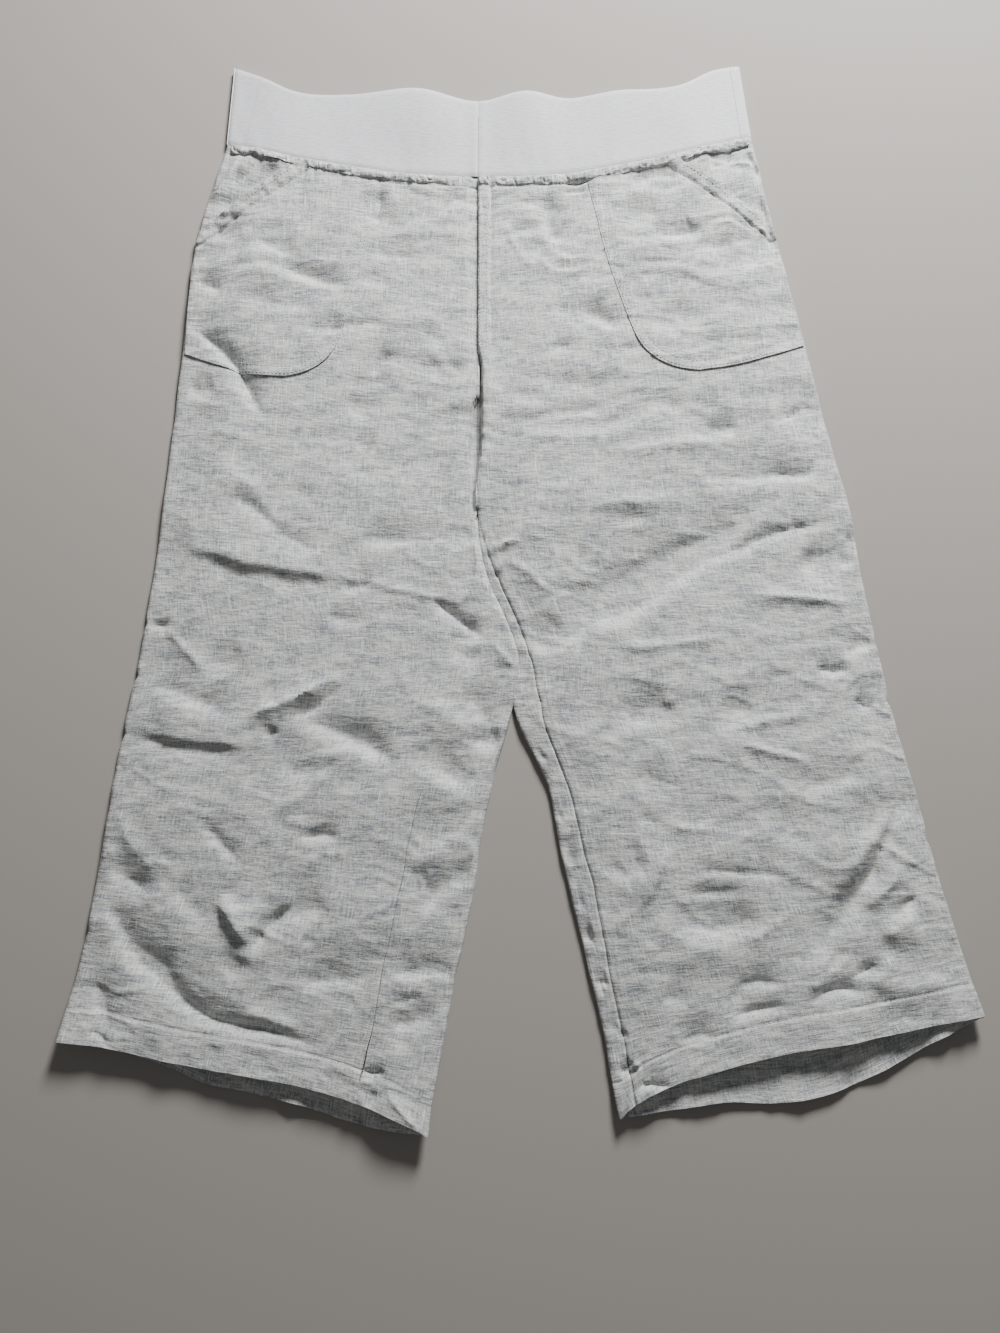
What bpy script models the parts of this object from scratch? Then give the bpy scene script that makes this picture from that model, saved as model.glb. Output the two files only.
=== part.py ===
"""Culottes with a wide elastic waistband, laid flat on their back.

The waist points to +Y, the front faces +Z and the back rests on Z = 0. Right and left are the
wearer's, so the right leg is at -X. Every cut piece is a thin wall of its own: the front panels
lie over the back panels with the empty body and legs between them, open at waist and hems.
"""

from collections import namedtuple
from math import ceil, sqrt

import bmesh
import bpy
import numpy as np

CM = 0.01
MM = 0.001

# Driving dimensions, in metres.
LINEN = 1.2 * MM          # wall of a linen panel
POCKET_LINEN = 1.0 * MM   # wall of a patch pocket
RIB = 2.0 * MM            # wall of the elastic waistband
GAP = 0.3 * MM            # between pieces that are sewn together
POCKET_LIFT = 0.4 * MM    # upwards from a panel to the pocket on it, the gap on a slope
FOLD_HEIGHT = 5.5 * MM    # outer height of a folded edge, two layers and the air between
FOLD_REACH = 5 * MM       # how far in from its edge a fold is rounded
CROWN_REACH = 50 * MM     # how far in from a folded edge the front has risen to its crown
ROW_SPACING = 30 * MM     # between the rows of points down a panel
ROW_STRETCH = 0.25        # share of that spacing that a row may be further apart
ACROSS = 10               # steps across a front panel between its fold and its inner edge
ACROSS_BACK = 7           # and across a back panel
WRAP_ACROSS = 2           # steps of the part that wraps on to the front, past its fold
CENTRE_X = -3.5 * CM      # centre front and centre back seams

# Profile of a folded edge: distances in from the edge, and the share of the height above the
# middle of the fold that the cloth has reached there.
FOLD_INWARD = [0.0, 0.25 * FOLD_REACH, FOLD_REACH]
FOLD_SHARE = [0.35, 0.75, 1.0]

# One row for each level down a leg, from the waist seam to the hem. Lengths are in cm: the
# point on the outer fold, the point at the inner end (centre seam above the crotch, inner fold
# below it), how far the row bows towards the waist on the front and on the back, and how far
# the back panel wraps over the inner fold on to the front. Heights in mm: crown in the middle
# of the row and height of its inner end.
LEVEL_COLUMNS = "outer_x outer_y inner_x inner_y bow_front bow_back wrap crown inner_height"
Level = namedtuple("Level", LEVEL_COLUMNS)
RIGHT_LEG = [
    Level(-24.9, 36.2, -3.5, 33.1, -0.7, -0.7, 0.0, 11.0, 10.5),  # waist seam
    Level(-27.0, 28.0, -3.5, 25.5, -0.4, -0.4, 0.0, 11.0, 10.0),  # pocket opening
    Level(-27.9, 18.0, -3.5, 16.0, -0.2, -0.2, 0.0, 11.0, 9.0),   # hip
    Level(-28.4, 10.5, -3.5, 9.0, 0.0, 0.0, 0.0, 10.5, 8.0),      # seat
    Level(-28.9, 4.4, -3.5, 3.8, 0.0, 0.0, 0.0, 10.0, 6.0),       # crotch
    Level(-28.9, 3.9, -3.5, 3.2, 0.0, 0.0, 0.6, 10.0, 5.0),       # top of the inseam
    Level(-29.4, -1.5, -2.5, -1.8, 0.0, 0.0, 1.9, 10.0, 5.0),     # upper thigh
    Level(-29.8, -4.5, -1.3, -4.6, 0.0, 0.0, 3.4, 10.0, 5.0),     # thigh
    Level(-30.2, -8.0, -0.2, -7.6, 0.0, 0.0, 5.1, 10.5, 5.0),     # widest of the thigh
    Level(-30.9, -12.0, -0.6, -11.6, 0.0, 0.0, 5.4, 11.0, 5.0),   # legs part
    Level(-31.7, -17.5, -2.3, -18.0, 0.0, 0.0, 5.3, 10.5, 5.0),   # knee
    Level(-32.6, -25.0, -3.8, -26.5, 0.2, -0.1, 5.6, 10.0, 5.0),  # calf
    Level(-33.6, -31.7, -5.5, -35.0, 0.4, -0.2, 5.4, 10.0, 5.0),  # above the hem
    Level(-34.7, -37.0, -7.0, -43.6, 0.6, -0.4, 5.4, 10.5, 5.0),  # hem
]
LEFT_LEG = [
    Level(19.8, 36.9, -3.5, 33.1, -0.7, -0.7, 0.0, 11.0, 10.5),   # waist seam
    Level(21.4, 28.5, -3.5, 25.5, -0.4, -0.4, 0.0, 11.0, 10.0),   # pocket opening
    Level(23.6, 18.3, -3.5, 16.0, -0.2, -0.2, 0.0, 11.0, 9.0),    # hip
    Level(25.3, 9.7, -3.5, 9.0, 0.0, 0.0, 0.0, 10.5, 8.0),        # seat
    Level(26.6, 4.2, -3.5, 3.8, 0.0, 0.0, 0.0, 10.0, 6.0),        # crotch
    Level(26.7, 3.6, -3.5, 3.2, 0.0, 0.0, 0.8, 10.0, 5.0),        # top of the inseam
    Level(27.4, -2.2, -2.5, -1.8, 0.0, 0.0, 0.8, 10.0, 5.0),      # upper thigh
    Level(27.9, -5.0, -1.3, -4.6, 0.0, 0.0, 0.8, 10.0, 5.0),      # thigh
    Level(28.4, -8.0, -0.2, -7.6, 0.0, 0.0, 0.8, 10.5, 5.0),      # widest of the thigh
    Level(29.1, -12.0, -0.6, -11.6, 0.0, 0.0, 2.2, 11.0, 5.0),    # legs part
    Level(30.4, -17.5, 1.9, -17.6, 0.0, 0.0, 1.5, 10.5, 5.0),     # knee
    Level(32.0, -24.8, 3.5, -25.4, 0.3, -0.7, 1.9, 10.0, 5.0),    # calf
    Level(33.5, -30.7, 5.6, -34.0, 0.8, -1.7, 1.4, 10.0, 5.0),    # above the hem
    Level(34.6, -35.2, 7.2, -42.5, 1.2, -2.7, 1.4, 11.0, 5.0),    # hem
]
FIRST_WRAP = 5            # index of the first level whose back wraps on to the front

# The largest folds of the front: both ends in cm, half width and rise in mm.
Fold = namedtuple("Fold", "start_x start_y end_x end_y width rise")
FOLDS = [
    Fold(-27.0, 14.5, -19.5, 10.5, 20, -2.0),   # right hip, under the pocket
    Fold(-27.0, 1.5, -9.0, -3.0, 22, 2.5),      # across the right thigh
    Fold(-29.0, -11.0, -21.5, -15.5, 24, 3.5),  # raised flap at the right knee
    Fold(-22.0, -13.0, -15.5, -8.5, 20, 2.5),   # branch of that flap
    Fold(-31.0, -27.0, -18.0, -36.5, 26, -1.5), # hollow above the right hem
    Fold(-22.5, -29.0, -18.0, -24.5, 20, 2.5),  # right calf
    Fold(24.0, 3.5, 6.0, -5.5, 24, 3.0),        # long drag across the left thigh
    Fold(23.0, 9.5, 14.0, 7.5, 22, -2.5),       # hollow at the left hip
    Fold(25.5, -4.0, 16.0, -2.5, 22, 2.0),      # outer left thigh
    Fold(29.0, -20.0, 26.0, -30.0, 22, 3.0),    # outer left calf
    Fold(11.0, -13.0, 9.5, -24.0, 24, -2.0),    # inner left calf
]

# Waistband: points along the upper edge from the right fold to the left fold. In cm, except for
# the height of the front layer in mm. The back layer has the same x and its own back_y.
EDGE_COLUMNS = "x y height back_y"
Edge = namedtuple("Edge", EDGE_COLUMNS)
WAIST_EDGE = [
    Edge(-24.5, 43.4, 5, 43.4),
    Edge(-22.0, 42.3, 8, 42.0),
    Edge(-19.5, 41.0, 9, 41.0),
    Edge(-14.5, 40.5, 10, 40.4),
    Edge(-8.5, 40.8, 14, 40.2),
    Edge(-3.5, 39.9, 10, 40.1),
    Edge(0.7, 40.6, 14, 40.2),
    Edge(4.0, 40.2, 10, 40.4),
    Edge(8.5, 40.8, 12, 40.6),
    Edge(14.0, 41.5, 10, 41.3),
    Edge(16.5, 42.9, 8, 42.6),
    Edge(19.0, 43.6, 5, 43.6),
]
# Side seams of the band, in cm in from the folds, at the waist seam and at the upper edge.
RIGHT_SIDE_SEAM = (1.6, 2.4)
LEFT_SIDE_SEAM = (0.9, 0.9)
BAND_ROWS = 5             # rows of points up the band
BAND_ACROSS = 10          # steps across each front piece
BAND_ACROSS_BACK = 14     # steps along the back between the folds

# Patch pockets, in cm: the slanted opening, the front edge, the control point of the rounded
# corner and the lower edge out to the side.
POCKET_COLUMNS = "opening_low opening_high front_high corner_start corner corner_end side_low"
Pocket = namedtuple("Pocket", POCKET_COLUMNS)
RIGHT_POCKET = Pocket(
    opening_low=(-27.2, 28.2),
    opening_high=(-18.4, 34.9),
    front_high=(-12.3, 33.9),
    corner_start=(-14.9, 19.4),
    corner=(-15.8, 15.2),
    corner_end=(-19.6, 15.5),
    side_low=(-28.0, 17.8),
)
LEFT_POCKET = Pocket(
    opening_low=(21.4, 28.7),
    opening_high=(13.3, 35.5),
    front_high=(5.7, 34.4),
    corner_start=(9.2, 19.6),
    corner=(10.4, 15.8),
    corner_end=(14.6, 15.9),
    side_low=(23.8, 18.2),
)
CORNER_STEPS = 5
CUT_MERGE = 0.8 * MM      # points closer than this along a pocket's cut edge become one

Leg = namedtuple("Leg", "name side levels pocket")
LEGS = [
    Leg("right", -1, RIGHT_LEG, RIGHT_POCKET),
    Leg("left", 1, LEFT_LEG, LEFT_POCKET),
]


def clear_scene():
    for obj in list(bpy.data.objects):
        bpy.data.objects.remove(obj, do_unlink=True)


def cloth_material(name, colour, roughness):
    """A cloth with the given linear colour."""
    material = bpy.data.materials.new(name)
    material.use_nodes = True
    shader = material.node_tree.nodes["Principled BSDF"]
    shader.inputs["Base Color"].default_value = (*colour, 1.0)
    shader.inputs["Roughness"].default_value = roughness
    shader.inputs["Metallic"].default_value = 0.0
    return material


def smooth(t):
    """Ease from 0 to 1."""
    t = min(max(t, 0.0), 1.0)
    return t * t * (3.0 - 2.0 * t)


def in_metres(level, side):
    """A level with its lengths in metres and its inner end half a gap off the shared line."""
    scale = dict(crown=MM, inner_height=MM)
    values = {k: v * scale.get(k, CM) for k, v in level._asdict().items()}
    values["inner_x"] += side * GAP / 2
    return Level(**values)


def levels_between(leg):
    """The leg's levels with straight steps between them, and the first row that wraps."""
    table = [in_metres(level, leg.side) for level in leg.levels]
    rows = [table[0]]
    first_wrap = 0
    for index in range(1, len(table)):
        upper, lower = table[index - 1], table[index]
        steps = max(1, ceil(abs(upper.inner_y - lower.inner_y) / ROW_SPACING - ROW_STRETCH))
        for step in range(1, steps + 1):
            share = step / steps
            rows.append(Level(*(a + (b - a) * share for a, b in zip(upper, lower))))
        if index == FIRST_WRAP:
            first_wrap = len(rows) - 1
    return rows, first_wrap


def row_length(row):
    return sqrt((row.inner_x - row.outer_x) ** 2 + (row.inner_y - row.outer_y) ** 2)


def row_point(row, distance, bow):
    """Where a row is at this distance in from the outer fold, seen from above."""
    share = distance / row_length(row)
    x = row.outer_x + (row.inner_x - row.outer_x) * share
    y = row.outer_y + (row.inner_y - row.outer_y) * share
    return x, y + bow * 4.0 * share * (1.0 - share)


def fold_rise(x, y):
    """What the largest folds add to the height of the front."""
    rise = 0.0
    for fold in FOLDS:
        along_x = (fold.end_x - fold.start_x) * CM
        along_y = (fold.end_y - fold.start_y) * CM
        from_x = x - fold.start_x * CM
        from_y = y - fold.start_y * CM
        length = sqrt(along_x ** 2 + along_y ** 2)
        share = (from_x * along_x + from_y * along_y) / length ** 2
        across = abs(from_x * along_y - from_y * along_x) / length
        past_end = max(-share, share - 1.0, 0.0) * length
        off = sqrt(across ** 2 + past_end ** 2) / (fold.width * MM)
        rise += fold.rise * MM * np.exp(-off * off)
    return rise


def round_edge(distance, height):
    """Height of the upper layer this far in from a folded edge, just above half a fold there."""
    middle = FOLD_HEIGHT / 2
    share = float(np.interp(distance, FOLD_INWARD, FOLD_SHARE))
    return middle + (height - middle) * share


def front_height(row, distance, x, y):
    """Outer height of the upper layer on a row, this far in from the outer fold."""
    to_inner = row_length(row) - distance
    outer_side = FOLD_HEIGHT + (row.crown - FOLD_HEIGHT) * smooth(distance / CROWN_REACH)
    inner_side = row.inner_height + (row.crown - row.inner_height) * smooth(to_inner / CROWN_REACH)
    away_from_edges = smooth(distance / CROWN_REACH) * smooth(to_inner / CROWN_REACH)
    height = min(outer_side, inner_side) + fold_rise(x, y) * away_from_edges
    height = round_edge(distance, height)
    if row.wrap > 0.0:
        height = min(height, round_edge(to_inner, height))
    return height


def evenly(start, end, steps):
    """Distances from start to end in even steps, without the start."""
    return [start + (end - start) * step / steps for step in range(1, steps + 1)]


def lower_height(inward):
    """Outer height of the lower layer at a folded edge: the upper layer's, upside down."""
    return FOLD_HEIGHT - round_edge(inward, FOLD_HEIGHT)


def front_row(row):
    """Points of a front panel on one row, from the side seam to the inner seam."""
    end = row_length(row) - (row.wrap + GAP if row.wrap > 0.0 else 0.0)
    distances = FOLD_INWARD + evenly(FOLD_REACH, end, ACROSS)
    points = [(row.outer_x, row.outer_y, FOLD_HEIGHT / 2 + GAP / 2)]
    for distance in distances:
        x, y = row_point(row, distance, row.bow_front)
        points.append((x, y, front_height(row, distance, x, y)))
    return points


def back_row(row, wraps):
    """Points of a back panel on one row: side seam, flat back and, on a leg, round the inner
    fold and over on to the front."""
    length = row_length(row)
    flat_end = length - FOLD_REACH if wraps else length
    points = [(row.outer_x, row.outer_y, FOLD_HEIGHT / 2 - GAP / 2)]
    for distance in FOLD_INWARD:
        points.append((*row_point(row, distance, row.bow_back), lower_height(distance)))
    for distance in evenly(FOLD_REACH, flat_end, ACROSS_BACK):
        points.append((*row_point(row, distance, row.bow_back), 0.0))
    if wraps:
        for inward in reversed(FOLD_INWARD[:-1]):
            points.append((*row_point(row, length - inward, row.bow_back), lower_height(inward)))
        for inward in FOLD_INWARD + evenly(FOLD_REACH, row.wrap, WRAP_ACROSS):
            x, y = row_point(row, length - inward, row.bow_front)
            points.append((x, y, front_height(row, length - inward, x, y)))
    return points


def sheet_mesh(rows, flip):
    """An open, triangulated sheet through rows of points. Longer rows keep their extra points
    as a strip of their own. Faces turn up where the first point is at -X, unless flipped."""
    mesh = bmesh.new()
    verts = [[mesh.verts.new(point) for point in row] for row in rows]
    for upper, lower in zip(verts, verts[1:]):
        for n in range(min(len(upper), len(lower)) - 1):
            corners = [upper[n], lower[n], lower[n + 1], upper[n + 1]]
            mesh.faces.new(reversed(corners) if flip else corners)
    bmesh.ops.triangulate(mesh, faces=mesh.faces[:])
    return mesh


def add_wall(name, mesh, thickness, outward, material):
    """Make an object of an open sheet and give it its wall, inwards or outwards."""
    data = bpy.data.meshes.new(name)
    mesh.to_mesh(data)
    mesh.free()
    data.materials.append(material)
    data.shade_smooth()
    obj = bpy.data.objects.new(name, data)
    bpy.context.collection.objects.link(obj)
    wall = obj.modifiers.new("wall", "SOLIDIFY")
    wall.thickness = thickness
    wall.offset = 1.0 if outward else -1.0
    wall.use_even_offset = False
    return obj


def pocket_outline(pocket):
    """The pocket's edge from the side, along the opening, down and round to the side again."""
    start, corner, end = (np.array(p) * CM for p in (pocket.corner_start, pocket.corner, pocket.corner_end))
    outline = [np.array(p) * CM for p in (pocket.opening_low, pocket.opening_high, pocket.front_high)]
    for n in range(CORNER_STEPS + 1):
        t = n / CORNER_STEPS
        outline.append((1 - t) ** 2 * start + 2 * t * (1 - t) * corner + t ** 2 * end)
    outline.append(np.array(pocket.side_low) * CM)
    return outline


def pocket_mesh(leg, rows):
    """The part of the front panel's own surface that the pocket covers, moved off it."""
    inside_fold = len(FOLD_INWARD)
    patch = sheet_mesh([front_row(row)[inside_fold:] for row in rows], flip=leg.side > 0)
    outline = pocket_outline(leg.pocket)
    for start, end in zip(outline, outline[1:]):
        along = end - start
        geometry = patch.verts[:] + patch.edges[:] + patch.faces[:]
        bmesh.ops.bisect_plane(
            patch,
            geom=geometry,
            dist=0.01 * MM,
            plane_co=(*start, 0.0),
            plane_no=(leg.side * along[1], -leg.side * along[0], 0.0),
            clear_outer=True,
        )
    bmesh.ops.remove_doubles(patch, verts=patch.verts[:], dist=CUT_MERGE)
    bmesh.ops.triangulate(patch, faces=patch.faces[:])
    bmesh.ops.translate(patch, verts=patch.verts[:], vec=(0.0, 0.0, POCKET_LIFT))
    return patch


def make_leg(leg, linen):
    rows, first_wrap = levels_between(leg)
    mirrored = leg.side > 0
    front = sheet_mesh([front_row(row) for row in rows], flip=mirrored)
    add_wall(f"front_{leg.name}", front, LINEN, False, linen)

    back_rows = [back_row(row, n >= first_wrap) for n, row in enumerate(rows)]
    back = sheet_mesh(back_rows, flip=not mirrored)
    add_wall(f"back_{leg.name}", back, LINEN, False, linen)

    add_wall(f"pocket_{leg.name}", pocket_mesh(leg, rows), POCKET_LINEN, True, linen)


def waist_seam_y(x):
    """The band's lower edge: it follows the panels' first row."""
    leg = LEGS[0] if x < CENTRE_X else LEGS[1]
    row = in_metres(leg.levels[0], leg.side)
    share = (x - row.outer_x) / (row.inner_x - row.outer_x)
    share = min(max(share, 0.0), 1.0)
    y = row.outer_y + (row.inner_y - row.outer_y) * share
    return y + row.bow_front * 4.0 * share * (1.0 - share) + GAP


def edge_value(x, column):
    """A column of the waist edge's table at this x, in metres."""
    unit = MM if column == "height" else CM
    xs = [edge.x * CM for edge in WAIST_EDGE]
    return float(np.interp(x, xs, [getattr(edge, column) * unit for edge in WAIST_EDGE]))


def band_folds(up):
    """x of the right and left folds, this share of the way up the band."""
    right = (1 - up) * RIGHT_LEG[0].outer_x + up * WAIST_EDGE[0].x
    left = (1 - up) * LEFT_LEG[0].outer_x + up * WAIST_EDGE[-1].x
    return right * CM, left * CM


def band_seams(up):
    """x of the band's right and left side seams, this share of the way up."""
    right_fold, left_fold = band_folds(up)
    right = right_fold + (RIGHT_SIDE_SEAM[0] * (1 - up) + RIGHT_SIDE_SEAM[1] * up) * CM
    left = left_fold - (LEFT_SIDE_SEAM[0] * (1 - up) + LEFT_SIDE_SEAM[1] * up) * CM
    return right, left


def band_point(x, up, front):
    """A point of the band's outer surface, on its front or on its back layer."""
    right_fold, left_fold = band_folds(up)
    to_fold = min(x - right_fold, left_fold - x)
    top = edge_value(x, "y" if front else "back_y")
    y = waist_seam_y(x) * (1 - up) + top * up
    if not front:
        return x, y, lower_height(to_fold)
    crown = FOLD_HEIGHT + (RIGHT_LEG[0].crown * MM - FOLD_HEIGHT) * smooth(to_fold / CROWN_REACH)
    height = crown * (1 - smooth(up)) + edge_value(x, "height") * smooth(up)
    return x, y, round_edge(to_fold, height)


def band_row(x_start, x_end, up):
    """Front points between two places across the band."""
    places = [x_start] + evenly(x_start, x_end, BAND_ACROSS)
    return [band_point(x, up, True) for x in places]


def band_back_row(up):
    """Right side seam, over the right fold, along the back, over the left fold to its seam."""
    right_fold, left_fold = band_folds(up)
    right_seam, left_seam = band_seams(up)
    row = [band_point(right_seam, up, True)]
    row += [band_point(right_fold + inward, up, True) for inward in reversed(FOLD_INWARD)]
    row += [band_point(right_fold + inward, up, False) for inward in FOLD_INWARD]
    start, end = right_fold + FOLD_REACH, left_fold - FOLD_REACH
    row += [band_point(x, up, False) for x in evenly(start, end, BAND_ACROSS_BACK)]
    row += [band_point(left_fold - inward, up, False) for inward in reversed(FOLD_INWARD[:-1])]
    row += [band_point(left_fold - inward, up, True) for inward in FOLD_INWARD]
    row += [band_point(left_seam, up, True)]
    return row


def make_band(rib):
    shares = [n / (BAND_ROWS - 1) for n in reversed(range(BAND_ROWS))]
    right, left = [], []
    for up in shares:
        right_seam, left_seam = band_seams(up)
        right.append(band_row(right_seam + GAP, CENTRE_X - GAP / 2, up))
        left.append(band_row(CENTRE_X + GAP / 2, left_seam - GAP, up))
    add_wall("waistband_front_right", sheet_mesh(right, flip=False), RIB, False, rib)
    add_wall("waistband_front_left", sheet_mesh(left, flip=False), RIB, False, rib)
    back = sheet_mesh([band_back_row(up) for up in shares], flip=True)
    add_wall("waistband_back", back, RIB, False, rib)


def main():
    clear_scene()
    linen = cloth_material("linen", (0.57, 0.58, 0.58), 0.9)
    rib = cloth_material("elastic_rib", (0.66, 0.68, 0.71), 0.85)
    for leg in LEGS:
        make_leg(leg, linen)
    make_band(rib)


main()
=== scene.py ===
from math import radians

import bpy
import numpy as np
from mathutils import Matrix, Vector


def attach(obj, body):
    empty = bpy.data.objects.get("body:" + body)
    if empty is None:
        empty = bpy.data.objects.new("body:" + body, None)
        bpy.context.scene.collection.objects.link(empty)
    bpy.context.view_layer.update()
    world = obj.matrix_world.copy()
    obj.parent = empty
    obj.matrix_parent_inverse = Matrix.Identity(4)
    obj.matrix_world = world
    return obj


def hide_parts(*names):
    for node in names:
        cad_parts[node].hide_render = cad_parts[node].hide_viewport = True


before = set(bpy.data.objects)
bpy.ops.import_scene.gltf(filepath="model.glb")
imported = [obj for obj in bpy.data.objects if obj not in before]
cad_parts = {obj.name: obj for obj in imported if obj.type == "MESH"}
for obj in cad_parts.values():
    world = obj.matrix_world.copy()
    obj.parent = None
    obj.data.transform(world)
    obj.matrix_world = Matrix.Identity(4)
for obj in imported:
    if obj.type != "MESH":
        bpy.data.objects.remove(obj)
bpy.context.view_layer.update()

print("Frame loaded,", len(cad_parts), "pieces")

# Culottes laid flat on their back, waist towards +Y. Right and left are the wearer's, so the
# right leg is at -X. Places seen from above are in cm, heights and widths of creases in mm.
cm = 0.01
mm = 0.001

# Levels down a leg, in cm: x and y on the outer fold, x and y at the inner end of the row, and
# how far the back panel wraps over the inner fold on to the front.
legs = {
    "right": {
        "side": -1,
        "seamTop": -18.5,       # above this the inseam is pressed flat
        "levels": [
            (-24.9, 36.2, -3.5, 33.1, 0.0),    # waist seam
            (-27.0, 28.0, -3.5, 25.5, 0.0),
            (-27.9, 18.0, -3.5, 16.0, 0.0),    # hip
            (-28.4, 10.5, -3.5, 9.0, 0.0),
            (-28.9, 4.4, -3.5, 3.8, 0.0),      # crotch
            (-29.4, -1.5, -2.5, -1.8, 1.9),
            (-29.8, -4.5, -1.3, -4.6, 3.4),
            (-30.2, -8.0, -0.2, -7.6, 5.1),
            (-30.9, -12.0, -0.6, -11.6, 5.4),  # legs part
            (-31.7, -17.5, -2.3, -18.0, 5.3),
            (-32.6, -25.0, -3.8, -26.5, 5.6),
            (-33.6, -31.7, -5.5, -35.0, 5.4),
            (-34.7, -37.0, -7.0, -43.6, 5.4),  # hem
        ],
        "frontHem": [(-34.7, -36.9), (-31.3, -37.3), (-27.6, -38.1), (-24.6, -38.7), (-20.1, -39.4),
                     (-16.4, -40.1), (-13.4, -40.9), (-9.7, -42.2), (-7.0, -43.5)],
        "backHem": [(-34.7, -36.9), (-30.5, -37.7), (-27.1, -38.7), (-24.1, -39.9), (-19.6, -40.9),
                    (-15.8, -41.8), (-12.8, -42.8), (-9.1, -43.4), (-7.0, -43.6)],
        "innerHeight": [(-45, 5.5), (-12, 6.5), (-6, 8.5), (2, 7.0), (8, 7.5), (16, 9.5), (36, 10.5)],
        "notches": [(-5.2, 1.2, 0.35), (-9.4, 2.0, 0.4), (-14.0, 1.5, 0.5), (-29.0, 1.2, 0.5)],
        "cornerLifts": [(-35.5, -38.0, 9, 4.0), (-6.5, -44.5, 8, 3.8), (-7.2, -38.5, 2, 4)],
    },
    "left": {
        "side": 1,
        "seamTop": 4.5,
        "levels": [
            (19.8, 36.9, -3.5, 33.1, 0.0),
            (21.4, 28.5, -3.5, 25.5, 0.0),
            (23.6, 18.3, -3.5, 16.0, 0.0),
            (25.3, 9.7, -3.5, 9.0, 0.0),
            (26.6, 4.2, -3.5, 3.8, 0.0),
            (27.4, -2.2, -2.5, -1.8, 0.8),
            (27.9, -5.0, -1.3, -4.6, 0.8),
            (28.4, -8.0, -0.2, -7.6, 0.8),
            (29.1, -12.0, -0.6, -11.6, 2.2),
            (30.4, -17.5, 1.9, -17.6, 1.5),
            (32.0, -24.8, 3.5, -25.4, 1.9),
            (33.5, -30.7, 5.6, -34.0, 1.4),
            (34.6, -35.2, 7.2, -42.5, 1.4),
        ],
        "frontHem": [(34.6, -35.1), (29.5, -36.0), (25.0, -36.9), (20.5, -37.6), (17.2, -38.3),
                     (13.5, -39.3), (11.0, -40.1), (9.0, -41.0), (7.2, -42.4)],
        "backHem": [(34.6, -35.2), (31.4, -36.8), (28.3, -38.5), (25.2, -40.0), (21.8, -41.1),
                    (18.1, -41.5), (15.5, -41.4), (11.7, -41.9), (7.2, -42.5)],
        "innerHeight": [(-45, 5.5), (-12, 5.0), (-6, 4.2), (2, 4.6), (8, 6.5), (16, 9.5), (36, 10.5)],
        "notches": [(2.0, 1.2, 0.35), (-6.6, 1.2, 0.35), (-11.3, 2.0, 0.4), (-22.0, 1.5, 0.6)],
        "cornerLifts": [(35.5, -36.0, 7, 3.5), (6.8, -43.2, 4, 3.0)],
    },
}

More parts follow.
